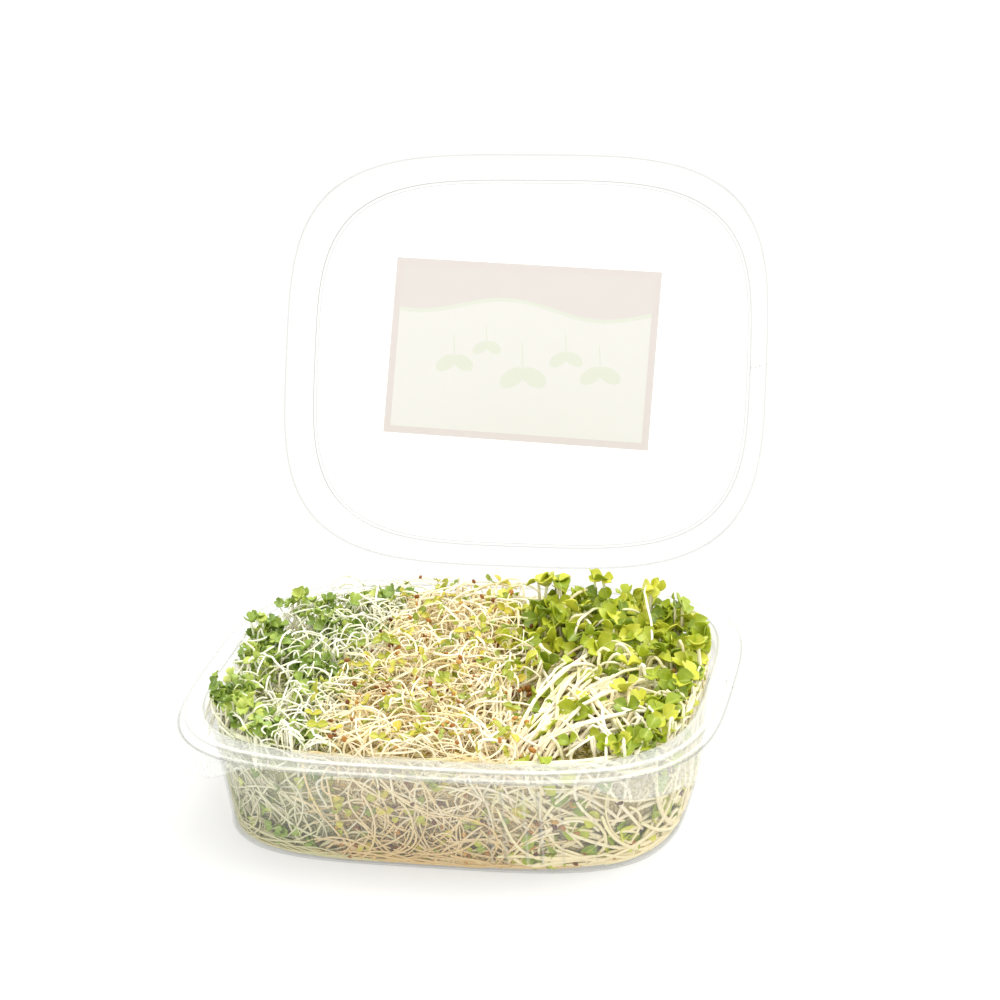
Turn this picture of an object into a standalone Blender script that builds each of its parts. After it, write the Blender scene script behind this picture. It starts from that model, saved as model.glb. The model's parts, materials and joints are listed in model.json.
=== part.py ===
"""Mixed sprouts in the clear hinged tray that holds them.

Three kinds lie side by side: small green leaves on white stems at the left, curly
cream sprouts in the middle and large-leaved radish sprouts at the right. The tray's
lid stands open behind them on its moulded hinge, with a label on its outer face.

Metres, +Z up. X runs across the tray, -Y is its front, and the origin is the middle
of its underside.
"""

import math
import random

import bmesh
import bpy
from mathutils import Matrix, Vector, noise

# The holder's plan: a rectangle with bowed sides, |x/a|^n + |y/b|^n = 1
FLANGE_HALF_X = 0.0945
FLANGE_HALF_Y = 0.0798
BOW = 3.6
BASE_BOW = 3.9
BASE_TOP = 0.002
OUTLINE_LENGTH = 0.65
SHEET = 0.0006

# The tray's upper skin, from its floor up the wall and out over the rim, as
# distances in from the flange's edge and heights
TRAY_SKIN = (
    (0.0168, 0.0006),
    (0.0154, 0.0008),
    (0.0151, 0.0024),
    (0.0146, 0.0062),
    (0.0141, 0.0112),
    (0.0103, 0.0412),
    (0.0088, 0.0440),
    (0.0077, 0.0450),
    (0.0026, 0.0440),
    (0.0012, 0.0416),
    (0.0000, 0.0412),
)
FLOOR_Z = TRAY_SKIN[0][1]
WALL_TOP = TRAY_SKIN[6]

# The lid's outer skin when it is shut, from its edge up the dome to the crown
LID_SKIN = (
    (0.0009, 0.0442),
    (0.0032, 0.0453),
    (0.0041, 0.0463),
    (0.0087, 0.0566),
    (0.0094, 0.0575),
    (0.0105, 0.0579),
)
CROWN_Z = LID_SKIN[-1][1]

# The moulded hinge along the back
HINGE_Y = 0.0823
HINGE_Z = 0.0434
HINGE_HALF_LENGTH = 0.058
HINGE_CLEARANCE = 0.00015
LID_OPEN_DEG = 113.7

LABEL_SIZE = (0.104, 0.068, 0.00025)
LABEL_CENTRE = (-0.0033, -0.0040)
LABEL_TURN_DEG = 2.5
TOUCHING_GAP = 0.0003

# Where one kind of sprout ends and the next begins, as x = at + slope * y
LEFT_SEAM = (-0.0330, 0.0)
RIGHT_SEAM = (0.0160, -0.22)
SEAM_GAP = 0.0004
WALL_GAP = 0.0009
HIGHEST_TIP = 0.0560

RING_POINTS = 44
CORE_POINTS = 38
SHARP_ANGLE = math.radians(35)
FLAT_ANGLE = math.radians(0.5)
SEED = 4


def rounded_point(angle, half_x, half_y, bow):
    """The point of a bowed rectangle's outline at this angle of its formula."""
    c = math.cos(angle)
    s = math.sin(angle)
    x = math.copysign(abs(c) ** (2 / bow), c) * half_x
    y = math.copysign(abs(s) ** (2 / bow), s) * half_y
    return x, y


def plan_point(angle, inset, bow=BOW):
    """The point of the holder's plan at this angle, this far in from the flange's edge."""
    return rounded_point(angle, FLANGE_HALF_X - inset, FLANGE_HALF_Y - inset, bow)


def plan_share(x, y, inset, bow=BOW):
    """The outline's formula, this far in from the flange's edge: 1 on it and less inside."""
    return (abs(x) / (FLANGE_HALF_X - inset)) ** bow + (abs(y) / (FLANGE_HALF_Y - inset)) ** bow


def bow_at(z):
    """The base is a little squarer than the rest."""
    return BASE_BOW if z < BASE_TOP else BOW


def ring_angles(count):
    """Angles whose points are spaced by both length and turning, so corners get more of them."""
    fine = 2880
    step = 2 * math.pi / fine
    points = [Vector(plan_point((i + 0.5) * step, 0)) for i in range(fine + 2)]
    weights = []
    for i in range(fine):
        first = points[i + 1] - points[i]
        second = points[i + 2] - points[i + 1]
        weights.append(first.length / OUTLINE_LENGTH + first.angle(second, 0) / (2 * math.pi))
    total = sum(weights)
    angles = []
    run = 0.0
    for i, weight in enumerate(weights):
        while len(angles) < count and run >= total * len(angles) / count:
            angles.append((i + 1.5) * step)
        run += weight
    return angles


ANGLES = ring_angles(RING_POINTS)


def offset_path(path, distance):
    """A path of (inset, z) moved sideways by distance, with mitred corners."""
    moved = []
    for i, (inset, z) in enumerate(path):
        normals = []
        if i > 0:
            before = Vector(path[i]) - Vector(path[i - 1])
            normals.append(Vector((-before.y, before.x)).normalized())
        if i < len(path) - 1:
            after = Vector(path[i + 1]) - Vector(path[i])
            normals.append(Vector((-after.y, after.x)).normalized())
        direction = normals[0]
        scale = 1.0
        if len(normals) == 2:
            direction = (normals[0] + normals[1]).normalized()
            scale = 1 / max(direction.dot(normals[0]), 0.5)
        moved.append((inset + direction.x * distance * scale, z + direction.y * distance * scale))
    return moved


def material(name, colour, roughness, alpha=1.0):
    made = bpy.data.materials.new(name)
    made.use_nodes = True
    shader = made.node_tree.nodes["Principled BSDF"]
    shader.inputs["Base Color"].default_value = (*colour, 1)
    shader.inputs["Roughness"].default_value = roughness
    shader.inputs["Metallic"].default_value = 0
    shader.inputs["Alpha"].default_value = alpha
    return made


def finish(bm, name):
    """Makes an object of a closed bmesh, faces outwards."""
    bmesh.ops.recalc_face_normals(bm, faces=bm.faces)
    if bm.calc_volume(signed=True) < 0:
        bmesh.ops.reverse_faces(bm, faces=bm.faces)
    mesh = bpy.data.meshes.new(name)
    bm.to_mesh(mesh)
    bm.free()
    mesh.shade_smooth()
    mesh.set_sharp_from_angle(angle=SHARP_ANGLE)
    made = bpy.data.objects.new(name, mesh)
    bpy.context.scene.collection.objects.link(made)
    return made


def join_loops(bm, loops):
    """Faces between each loop of vertices and the next."""
    for low, high in zip(loops, loops[1:]):
        for i in range(len(low)):
            j = (i + 1) % len(low)
            bm.faces.new((low[i], low[j], high[j], high[i]))


def shell(name, skin, thickness, middle_first):
    """A thin moulded sheet: the skin's rings, the same rings offset, and a flat middle on both."""
    inset, z = skin[0] if middle_first else skin[-1]
    further_in = (2 * inset, z)
    guided = [further_in, *skin] if middle_first else [*skin, further_in]
    moved = offset_path(guided, thickness)
    other = moved[1:] if middle_first else moved[:-1]
    path = [*skin, *reversed(other)]
    if not middle_first:
        path = [*reversed(skin), *other]
    bm = bmesh.new()
    loops = []
    for inset, z in path:
        loops.append([bm.verts.new((*plan_point(a, inset, bow_at(z)), z)) for a in ANGLES])
    join_loops(bm, loops)
    bm.faces.new(loops[0])
    bm.faces.new(loops[-1])
    return finish(bm, name)


def plate(name, outline, low, high):
    """A flat plate of this outline between two heights."""
    bm = bmesh.new()
    face = bm.faces.new([bm.verts.new((x, y, low)) for x, y in outline])
    raised = bmesh.ops.extrude_face_region(bm, geom=[face])
    top = [v for v in raised["geom"] if isinstance(v, bmesh.types.BMVert)]
    bmesh.ops.translate(bm, verts=top, vec=(0, 0, high - low))
    return finish(bm, name)


def keep_main_body(mesh):
    """Drops loose scraps and filled-in hollows, and leaves the largest body."""
    bm = bmesh.new()
    bm.from_mesh(mesh)
    bmesh.ops.triangulate(bm, faces=bm.faces)
    left = set(bm.verts)
    bodies = []
    while left:
        body = set()
        front = [left.pop()]
        while front:
            vert = front.pop()
            body.add(vert)
            near = {e.other_vert(vert) for e in vert.link_edges} & left
            left -= near
            front.extend(near)
        faces = {f for v in body for f in v.link_faces}
        size = sum(f.verts[0].co.dot(f.verts[1].co.cross(f.verts[2].co)) for f in faces)
        bodies.append((size, body))
    bodies.sort(key=lambda entry: entry[0])
    scraps = [v for _, body in bodies[:-1] for v in body]
    bmesh.ops.delete(bm, geom=scraps, context="VERTS")
    bmesh.ops.dissolve_limit(bm, angle_limit=FLAT_ANGLE, verts=bm.verts, edges=bm.edges)
    bmesh.ops.triangulate(bm, faces=bm.faces)
    bm.to_mesh(mesh)
    bm.free()


def fuse(base, pieces, solver="EXACT"):
    """One Boolean union of the base with all the pieces, applied."""
    group = bpy.data.collections.new(base.name + "_pieces")
    bpy.context.scene.collection.children.link(group)
    for piece in pieces:
        bpy.context.scene.collection.objects.unlink(piece)
        group.objects.link(piece)
    union = base.modifiers.new("Union", "BOOLEAN")
    union.operation = "UNION"
    union.operand_type = "COLLECTION"
    union.collection = group
    union.solver = solver
    seen = base.evaluated_get(bpy.context.evaluated_depsgraph_get())
    mesh = bpy.data.meshes.new_from_object(seen)
    base.modifiers.clear()
    base.data = mesh
    for piece in pieces:
        bpy.data.objects.remove(piece)
    bpy.data.collections.remove(group)
    keep_main_body(mesh)
    mesh.shade_smooth()
    mesh.set_sharp_from_angle(angle=SHARP_ANGLE)


def dress(piece, name, colour, roughness, alpha=1.0):
    piece.data.materials.clear()
    piece.data.materials.append(material(name, colour, roughness, alpha))


FLAP_STEPS = 9
FLAP_CORNER = 0.002
TRAY_FLAP_INSET = 0.0022
LID_FLAP_INSET = 0.0019


def hinge_outline(inset):
    """The hinge's flap seen from above: along the rim's curve, and straight at the fold."""
    outline = []
    for i in range(FLAP_STEPS):
        x = HINGE_HALF_LENGTH * (1 - 2 * i / (FLAP_STEPS - 1))
        y = (FLANGE_HALF_Y - inset) * (1 - (abs(x) / (FLANGE_HALF_X - inset)) ** BOW) ** (1 / BOW)
        outline.append((x, y))
    fold = HINGE_Y - HINGE_CLEARANCE
    outline.append((-HINGE_HALF_LENGTH, fold - FLAP_CORNER))
    outline.append((-HINGE_HALF_LENGTH + FLAP_CORNER, fold))
    outline.append((HINGE_HALF_LENGTH - FLAP_CORNER, fold))
    outline.append((HINGE_HALF_LENGTH, fold - FLAP_CORNER))
    return outline


# How steeply a grip tab rises from the outline, and the share of it where the tab begins
CORNER_STEEPNESS = 2.4
CORNER_START = 0.04


def corner_share(x, y, along_x, along_y):
    """1 at a front corner, falling smoothly to 0 at these distances along its two sides."""
    from_x = (FLANGE_HALF_X - abs(x)) / along_x
    from_y = (FLANGE_HALF_Y - abs(y)) / along_y
    share = 1 - max(from_x, from_y)
    share = min(max(share * CORNER_STEEPNESS, 0), 1)
    return share * share * (3 - 2 * share)


def front_corner_angles(side, along_x, along_y, count):
    """Angles of the outline round one front corner, where its tab stands out."""
    middle = -math.pi / 4 if side > 0 else -3 * math.pi / 4
    found = []
    for i in range(-200, 200):
        angle = middle + i * math.radians(0.2)
        if corner_share(*plan_point(angle, 0), along_x, along_y) > CORNER_START:
            found.append(angle)
    low = found[0]
    high = found[-1]
    return [low + (high - low) * i / (count - 1) for i in range(count)]


# The tray's two front grip tabs hang from the rim's edge and flare out as they go down
TRAY_TAB_DROP = 0.0062
TRAY_TAB_FLARE = 0.0036
TRAY_TAB_ALONG = (0.040, 0.044)
TRAY_TAB_TOP = 0.0409
TRAY_TAB_LEAST = 0.12
TRAY_TAB_ROOT = ((0.0006, 0.0413), (0.0006, 0.0407))
TRAY_TAB_SECTIONS = 13


def tray_tab(side):
    bm = bmesh.new()
    sections = []
    for angle in front_corner_angles(side, *TRAY_TAB_ALONG, TRAY_TAB_SECTIONS):
        raised = corner_share(*plan_point(angle, 0), *TRAY_TAB_ALONG)
        share = TRAY_TAB_LEAST + (1 - TRAY_TAB_LEAST) * raised
        low_inset = -TRAY_TAB_FLARE * share
        low_z = TRAY_TAB_TOP - TRAY_TAB_DROP * share
        inner_low = (low_inset + SHEET * 0.9, low_z - SHEET * 0.4)
        section = []
        for inset, z in (*TRAY_TAB_ROOT, inner_low, (low_inset, low_z)):
            section.append(bm.verts.new((*plan_point(angle, inset), z)))
        sections.append(section)
    join_loops(bm, sections)
    bm.faces.new(sections[0])
    bm.faces.new(sections[-1])
    return finish(bm, "tray_tab")


def build_tray():
    tray = shell("tray", TRAY_SKIN, SHEET, True)
    top = HINGE_Z - HINGE_CLEARANCE
    flap = plate("tray_flap", hinge_outline(TRAY_FLAP_INSET), top - SHEET, top)
    fuse(tray, [flap, tray_tab(-1), tray_tab(1)])
    dress(tray, "clear_tray", colour=(0.93, 0.96, 0.95), roughness=0.12, alpha=0.3)
    return tray


# The lid's front corners are squared off by flat tabs with ribs to grip
LID_TAB_ALONG = (0.030, 0.040)
LID_TAB_HALF = (0.0937, 0.0791)
LID_TAB_BOW = 9.0
LID_TAB_Z = 0.0437
LID_TAB_EDGE = 0.0009
LID_TAB_ROOT = 0.0016
LID_TAB_SECTIONS = 15
RIB_COUNT = 5
RIB_PITCH = 0.0030
RIB_WIDTH = 0.0012
RIB_HEIGHT = 0.0005
RIB_FROM_SIDE = 0.0042
RIB_END_INSET = 0.0022
RIB_FROM_EDGE = 0.0016


def lid_tab_edge(angle):
    """The tab's outer edge, between the lid's own edge and a squarer outline."""
    x, y = plan_point(angle, LID_TAB_EDGE)
    share = corner_share(x, y, *LID_TAB_ALONG)
    square = rounded_point(angle, *LID_TAB_HALF, LID_TAB_BOW)
    return x + (square[0] - x) * share, y + (square[1] - y) * share


def lid_tab(side):
    angles = front_corner_angles(side, *LID_TAB_ALONG, LID_TAB_SECTIONS)
    inner = [plan_point(a, LID_TAB_ROOT) for a in angles]
    outer = [lid_tab_edge(a) for a in angles]
    return plate("lid_tab", [*inner, *reversed(outer)], LID_TAB_Z, LID_TAB_Z + SHEET)


def lid_ribs(side):
    """Ribs across the tab from front to back, with both their ends on the tab."""
    edge = [lid_tab_edge(a) for a in front_corner_angles(side, *LID_TAB_ALONG, 4 * LID_TAB_SECTIONS)]
    half_x = FLANGE_HALF_X - RIB_END_INSET
    half_y = FLANGE_HALF_Y - RIB_END_INSET
    ribs = []
    for i in range(RIB_COUNT):
        x = side * (FLANGE_HALF_X - RIB_FROM_SIDE - i * RIB_PITCH)
        back = -half_y * max(1 - (abs(x) / half_x) ** BOW, 0.02) ** (1 / BOW)
        front = min(y for along, y in edge if abs(along - x) < RIB_FROM_EDGE) + RIB_FROM_EDGE
        half = RIB_WIDTH / 2
        top = LID_TAB_Z + SHEET
        outline = [(x - half, front), (x + half, front), (x + half, back), (x - half, back)]
        ribs.append(plate("rib", outline, top - SHEET / 2, top + RIB_HEIGHT))
    return ribs


def build_lid(hinge):
    lid = shell("lid", LID_SKIN, -SHEET, False)
    low = HINGE_Z + HINGE_CLEARANCE
    flap = plate("lid_flap", hinge_outline(LID_FLAP_INSET), low, low + SHEET)
    tabs = [lid_tab(-1), lid_tab(1), *lid_ribs(-1), *lid_ribs(1)]
    fuse(lid, [flap, *tabs])
    dress(lid, "clear_lid", colour=(0.95, 0.97, 0.95), roughness=0.1, alpha=0.25)
    place_on_hinge(lid, hinge)
    return lid


def build_label(hinge):
    width, depth, thick = LABEL_SIZE
    bm = bmesh.new()
    bmesh.ops.create_cube(bm, size=1)
    bmesh.ops.scale(bm, verts=bm.verts, vec=(width, depth, thick))
    bmesh.ops.rotate(bm, verts=bm.verts, matrix=Matrix.Rotation(math.radians(LABEL_TURN_DEG), 3, "Z"))
    middle = CROWN_Z + TOUCHING_GAP + thick / 2
    bmesh.ops.translate(bm, verts=bm.verts, vec=(*LABEL_CENTRE, middle))
    label = finish(bm, "label")
    dress(label, "label_paper", colour=(0.72, 0.52, 0.47), roughness=0.6)
    place_on_hinge(label, hinge)
    return label


def place_on_hinge(piece, hinge):
    """Moves the mesh so that its origin lies on the fold, and hangs it on the turned hinge."""
    piece.data.transform(Matrix.Translation((0, -HINGE_Y, -HINGE_Z)))
    piece.parent = hinge


# Above the wall's top, the sprouts keep to the room under the shut lid's crown
CROWN_ROOM = LID_SKIN[-1][0] - 0.0004


def skin_inset(z):
    """How far in from the flange's edge the tray's inner skin is at this height."""
    if z >= WALL_TOP[1]:
        return CROWN_ROOM
    for (inset_a, z_a), (inset_b, z_b) in zip(TRAY_SKIN, TRAY_SKIN[1:]):
        if z <= z_b:
            return inset_a + (inset_b - inset_a) * max(z - z_a, 0) / (z_b - z_a)
    return WALL_TOP[0]


def seam_x(seam, y):
    return seam[0] + seam[1] * y


class Patch:
    """The room that one kind of sprout has between its seams and the tray's wall."""

    def __init__(self, left, right):
        self.left = left
        self.right = right

    def limits(self, y, spare):
        low = -1.0 if self.left is None else seam_x(self.left, y) + SEAM_GAP + spare
        high = 1.0 if self.right is None else seam_x(self.right, y) - SEAM_GAP - spare
        return low, high

    def holds(self, point, spare=0.0):
        x, y, z = point
        low, high = self.limits(y, spare)
        if not low <= x <= high or not FLOOR_Z + TOUCHING_GAP + spare <= z <= HIGHEST_TIP - spare:
            return False
        return plan_share(x, y, skin_inset(z) + WALL_GAP + spare, bow_at(z)) <= 1

    def pulled_in(self, point, spare):
        """The point, moved as little as it takes to be inside."""
        x, y, z = point
        z = min(max(z, FLOOR_Z + TOUCHING_GAP + spare), HIGHEST_TIP - spare)
        across = plan_share(x, y, skin_inset(z) + WALL_GAP + spare)
        if across > 1:
            x /= across ** (1 / BOW)
            y /= across ** (1 / BOW)
        low, high = self.limits(y, spare)
        return Vector((min(max(x, low), high), y, z))


LEFT_PATCH = Patch(None, LEFT_SEAM)
MIDDLE_PATCH = Patch(LEFT_SEAM, RIGHT_SEAM)
RIGHT_PATCH = Patch(RIGHT_SEAM, None)

# The packed mass under the free ends: how far its sides stay from the tray's wall, the
# heights of its side's rings, the sizes of its top's rings, and its lumps
CORE_GAP = 0.0034
CORE_SIDE_LEVELS = (0.0009, 0.0050, 0.0140, 0.0260)
CORE_TOP_SCALES = (1.0, 0.86, 0.7, 0.54, 0.38, 0.2)
CORE_LUMP = 0.0060
CORE_LUMPS_PER_METRE = 85
CORE_SIDE_LUMP = 0.02
CORE_SIDE_LUMPS_PER_METRE = 60
CORE_EDGE_DROP = 0.004
CORE_EDGE_INSET = 0.001
CORE_SEAM_DROP = 0.0045


def core_height(x, y, level):
    return level + CORE_LUMP * noise.noise(Vector((x, y, 0.3)) * CORE_LUMPS_PER_METRE)


def build_core(name, patch, level):
    """The tangled mass of one kind, lumpy on top and at its sides, cut plane at its seams."""
    bm = bmesh.new()
    angles = ring_angles(CORE_POINTS)
    loops = []
    for z in CORE_SIDE_LEVELS:
        ring = []
        for angle in angles:
            x, y = plan_point(angle, skin_inset(z) + CORE_GAP)
            lump = 1 - CORE_SIDE_LUMP * abs(noise.noise(Vector((x, y, z)) * CORE_SIDE_LUMPS_PER_METRE))
            ring.append(bm.verts.new((x * lump, y * lump, z)))
        loops.append(ring)
    for scale in CORE_TOP_SCALES:
        ring = []
        for angle in angles:
            x, y = plan_point(angle, skin_inset(level) + CORE_GAP + CORE_EDGE_INSET)
            x *= scale
            y *= scale
            edge_drop = CORE_EDGE_DROP if scale == 1 else 0
            ring.append(bm.verts.new((x, y, core_height(x, y, level) - edge_drop)))
        loops.append(ring)
    join_loops(bm, loops)
    bm.faces.new(loops[0])
    crown = bm.verts.new((0, 0, core_height(0, 0, level)))
    for i, vert in enumerate(loops[-1]):
        bm.faces.new((vert, loops[-1][(i + 1) % len(angles)], crown))
    bmesh.ops.triangulate(bm, faces=bm.faces)
    for seam, facing in ((patch.left, -1), (patch.right, 1)):
        if seam is None:
            continue
        on_seam = (seam_x(seam, 0) - facing * SEAM_GAP, 0, 0)
        normal = Vector((1, -seam[1], 0)) * facing
        cut = bmesh.ops.bisect_plane(
            bm, geom=[*bm.verts, *bm.edges, *bm.faces], plane_co=on_seam, plane_no=normal, clear_outer=True
        )
        rim = [e for e in cut["geom_cut"] if isinstance(e, bmesh.types.BMEdge)]
        for vert in {v for e in rim for v in e.verts if v.co.z > level - CORE_LUMP}:
            vert.co.z -= CORE_SEAM_DROP
        bmesh.ops.edgeloop_fill(bm, edges=rim)
    return finish(bm, name)


def curve(points, count):
    """Points along the cubic Bezier curve of four control points."""
    a, b, c, d = (Vector(p) for p in points)
    found = []
    for i in range(count):
        t = i / (count - 1)
        s = 1 - t
        found.append(a * s**3 + b * (3 * s * s * t) + c * (3 * s * t * t) + d * t**3)
    return found


def stem(path, radius, sides=3, tip=0.8):
    """A thin round stem along a path, a little narrower at its tip."""
    bm = bmesh.new()
    loops = []
    across = None
    for i, point in enumerate(path):
        along = (path[min(i + 1, len(path) - 1)] - path[max(i - 1, 0)]).normalized()
        if across is None:
            across = along.orthogonal().normalized()
        across = (across - along * across.dot(along)).normalized()
        other = along.cross(across)
        size = radius * (1 + (tip - 1) * i / (len(path) - 1))
        ring = []
        for k in range(sides):
            turn = 2 * math.pi * k / sides
            ring.append(bm.verts.new(point + (across * math.cos(turn) + other * math.sin(turn)) * size))
        loops.append(ring)
    join_loops(bm, loops)
    bm.faces.new(loops[0])
    bm.faces.new(loops[-1])
    return finish(bm, "stem")


# Half of a seed leaf's outline, as shares of its length and width from the stem to its end
HEART = ((0.04, 0.16), (0.80, 0.52), (0.74, 0.0))
OVAL = ((0.05, 0.22), (0.66, 0.50), (1.0, 0.0))
BLADE = 0.00065

# A seed leaf's length, width, outline, rise along it and bend across it
BROCCOLI_LEAF = (0.0048, 0.0046, OVAL, 0.25, 0.12)
ALFALFA_LEAF = (0.0030, 0.0024, OVAL, 0.5, 0.1)
RADISH_LEAF = (0.0086, 0.0082, HEART, 0.35, 0.1)
LEAF_SIZES = (0.85, 1.12)

SEED_COAT = 0.0015
SEED_COAT_SHAPE = (1.0, 0.7, 0.55)


def leaf_pair(tip, up, facing, length, width, shape, lift, cup):
    """Two seed leaves opened from the stem's tip, each raised at its outer end and curved across."""
    along = (facing - up * facing.dot(up)).normalized()
    across = up.cross(along)
    lobe = [(x, -y) for x, y in shape] + [(x, y) for x, y in reversed(shape[:-1])]
    count = len(lobe)
    end = count // 2
    bm = bmesh.new()
    layers = []
    for side in (0.5, -0.5):
        leaves = []
        for facing_x in (1, -1):
            verts = []
            for x, y in lobe:
                raised = (lift * x - cup * (2 * y) ** 2) * length + side * BLADE
                place = along * (facing_x * x * length) + across * (y * width) + up * raised
                verts.append(bm.verts.new(tip + place))
            leaves.append(verts)
            for k in range(count):
                following = (k + 1) % count
                if end not in (k, following):
                    bm.faces.new((verts[end], verts[k], verts[following]))
        right, left = leaves
        bm.faces.new((right[0], left[0], left[-1]))
        bm.faces.new((right[0], left[-1], right[-1]))
        layers.append([*right, *reversed(left)])
    join_loops(bm, layers)
    return finish(bm, "leaves")


def seed_coat(centre, turn):
    """A small empty seed coat that clings to the stems."""
    bm = bmesh.new()
    bmesh.ops.create_icosphere(bm, subdivisions=1, radius=SEED_COAT)
    bmesh.ops.scale(bm, verts=bm.verts, vec=SEED_COAT_SHAPE)
    turned = Matrix.Rotation(turn, 3, "Z") @ Matrix.Rotation(turn * 3, 3, "X")
    bmesh.ops.rotate(bm, verts=bm.verts, matrix=turned)
    bmesh.ops.translate(bm, verts=bm.verts, vec=centre)
    return finish(bm, "seed")


def fits(piece, patch):
    return all(patch.holds(v.co) for v in piece.data.vertices)


def kept(pieces, patch):
    """The pieces if all of them are inside the patch. Otherwise they are removed."""
    if all(fits(piece, patch) for piece in pieces):
        return pieces
    for piece in pieces:
        bpy.data.objects.remove(piece)
    return []


def upright_sprout(draw, patch, root, tip, bow, radius, points, leaf):
    """One stem from the packed mass to its tip, with its pair of seed leaves."""
    rise = tip - root
    path = curve((root, root + rise * 0.4 + bow, tip - Vector((0, 0, rise.z * 0.3)) + bow * 0.3, tip), points)
    path = [patch.pulled_in(p, radius) for p in path]
    end = (path[-1] - path[-2]).normalized()
    up = (end + Vector((draw.uniform(-0.4, 0.4), draw.uniform(-0.6, 0.1), 0.7))).normalized()
    turn = draw.uniform(0, math.pi)
    facing = Vector((math.cos(turn), math.sin(turn), 0))
    length, width, shape, lift, cup = leaf
    size = draw.uniform(*LEAF_SIZES)
    leaves = leaf_pair(path[-1], up, facing, length * size, width * size, shape, lift, cup)
    return [stem(path, radius), leaves]


def loose_arc(draw, patch, start, end, height, radius, points):
    """A bare stem that rises out of the mass and bends back into it."""
    side = Vector((draw.uniform(-1, 1), draw.uniform(-1, 1), 0)) * (end - start).length * 0.35
    up = Vector((0, 0, height * 1.35))
    path = curve((start, start + up + side, end + up - side, end), points)
    return stem([patch.pulled_in(p, radius) for p in path], radius)


# A stem along the wall: its points as shares of its length with their depths behind the
# mass's side, the heights it lies at, and how many of them lie along the front
WALL_STEM_COURSE = ((-0.62, 0.0030), (-0.4, -0.0012), (0.0, -0.0014), (0.4, -0.0012), (0.62, 0.0030))
WALL_STEM_HEIGHTS = (0.005, 0.031)
WALL_STEM_ARCH = 0.3
WALL_STEMS_IN_FRONT = 0.55
FRONT_HALF_ANGLE = 1.15
WALL_STEMS = 11


def wall_stem(draw, patch, radius, length):
    """A stem that lies between the mass and the tray's clear wall, both ends back in the mass."""
    angle = draw.uniform(0, 2 * math.pi)
    if draw.random() < WALL_STEMS_IN_FRONT:
        angle = -math.pi / 2 + draw.uniform(-FRONT_HALF_ANGLE, FRONT_HALF_ANGLE)
    z = draw.uniform(*WALL_STEM_HEIGHTS)
    slope = draw.uniform(-0.5, 0.5)
    x, y = plan_point(angle, skin_inset(z) + CORE_GAP)
    along = Vector((-y, x, 0)).normalized()
    path = []
    for step, depth in WALL_STEM_COURSE:
        high = z + (slope * step + WALL_STEM_ARCH * (0.16 - step * step)) * length
        spot = Vector((x, y, 0)) + along * step * length
        turn = math.atan2(spot.y / FLANGE_HALF_Y, spot.x / FLANGE_HALF_X)
        inset = skin_inset(high) + CORE_GAP + depth
        share = (abs(math.cos(turn)) ** BOW + abs(math.sin(turn)) ** BOW) ** (-1 / BOW)
        flat_x = math.cos(turn) * share * (FLANGE_HALF_X - inset)
        flat_y = math.sin(turn) * share * (FLANGE_HALF_Y - inset)
        path.append(patch.pulled_in((flat_x, flat_y, high), radius))
    return stem(path, radius)


def gather(wanted, make, patch):
    """Calls make until it has given this many sprouts that fit in the patch."""
    found = []
    tries = 0
    while wanted > 0 and tries < 4000:
        tries += 1
        pieces = kept(make(), patch)
        if pieces:
            found.extend(pieces)
            wanted -= 1
    return found


def spot_in(draw, patch, z, spare, x_range, y_range):
    """A random place of the patch at this height, inside these ranges."""
    tested_z = min(z, HIGHEST_TIP - spare)
    for _ in range(1000):
        place = Vector((draw.uniform(*x_range), draw.uniform(*y_range), z))
        if patch.holds((place.x, place.y, tested_z), spare):
            return place
    return place


BROCCOLI_LEVEL = 0.0365
BROCCOLI_STEM = 0.0005
BROCCOLI_SPROUTS = 50
BROCCOLI_ARCS = 8
BROCCOLI_TIPS = ((-0.085, -0.035), (-0.072, 0.070), (0.0445, 0.0530))
BROCCOLI_INNER_X = -0.048


def build_broccoli():
    """Left: short straight white stems with small green seed leaves, thick along the wall."""
    draw = random.Random(SEED)
    patch = LEFT_PATCH
    core = build_core("broccoli_sprouts", patch, BROCCOLI_LEVEL)
    across, deep, heights = BROCCOLI_TIPS

    def sprout():
        tip = spot_in(draw, patch, draw.uniform(*heights), 0.002, across, deep)
        if tip.x > BROCCOLI_INNER_X and draw.random() < 0.5:
            return []
        root = Vector((tip.x + draw.uniform(-0.006, 0.009), tip.y + draw.uniform(-0.008, 0.004), 0))
        root.z = BROCCOLI_LEVEL - 0.006
        bow = Vector((draw.uniform(-0.003, 0.003), draw.uniform(-0.003, 0.003), 0))
        return upright_sprout(draw, patch, root, tip, bow, BROCCOLI_STEM, 3, BROCCOLI_LEAF)

    def arc():
        start = spot_in(draw, patch, BROCCOLI_LEVEL - 0.005, 0.003, (-0.075, -0.035), (-0.065, 0.062))
        end = start + Vector((draw.uniform(-0.014, 0.014), draw.uniform(-0.016, 0.016), 0))
        return [loose_arc(draw, patch, start, end, draw.uniform(0.011, 0.016), BROCCOLI_STEM, 5)]

    def along_wall():
        return [wall_stem(draw, patch, BROCCOLI_STEM, draw.uniform(0.014, 0.026))]

    pieces = gather(BROCCOLI_SPROUTS, sprout, patch) + gather(BROCCOLI_ARCS, arc, patch)
    pieces += gather(WALL_STEMS, along_wall, patch)
    fuse(core, pieces, "MANIFOLD")
    dress(core, "broccoli_green", colour=(0.28, 0.45, 0.13), roughness=0.6)
    return core


ALFALFA_LEVEL = 0.0415
ALFALFA_CURL_RADIUS = 0.00062
ALFALFA_STEM = 0.00045
ALFALFA_CURLS = 44
ALFALFA_LEAFY = 12
ALFALFA_SEEDS = 10
ALFALFA_ACROSS = (-0.040, 0.036)
ALFALFA_DEEP = (-0.070, 0.070)


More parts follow.
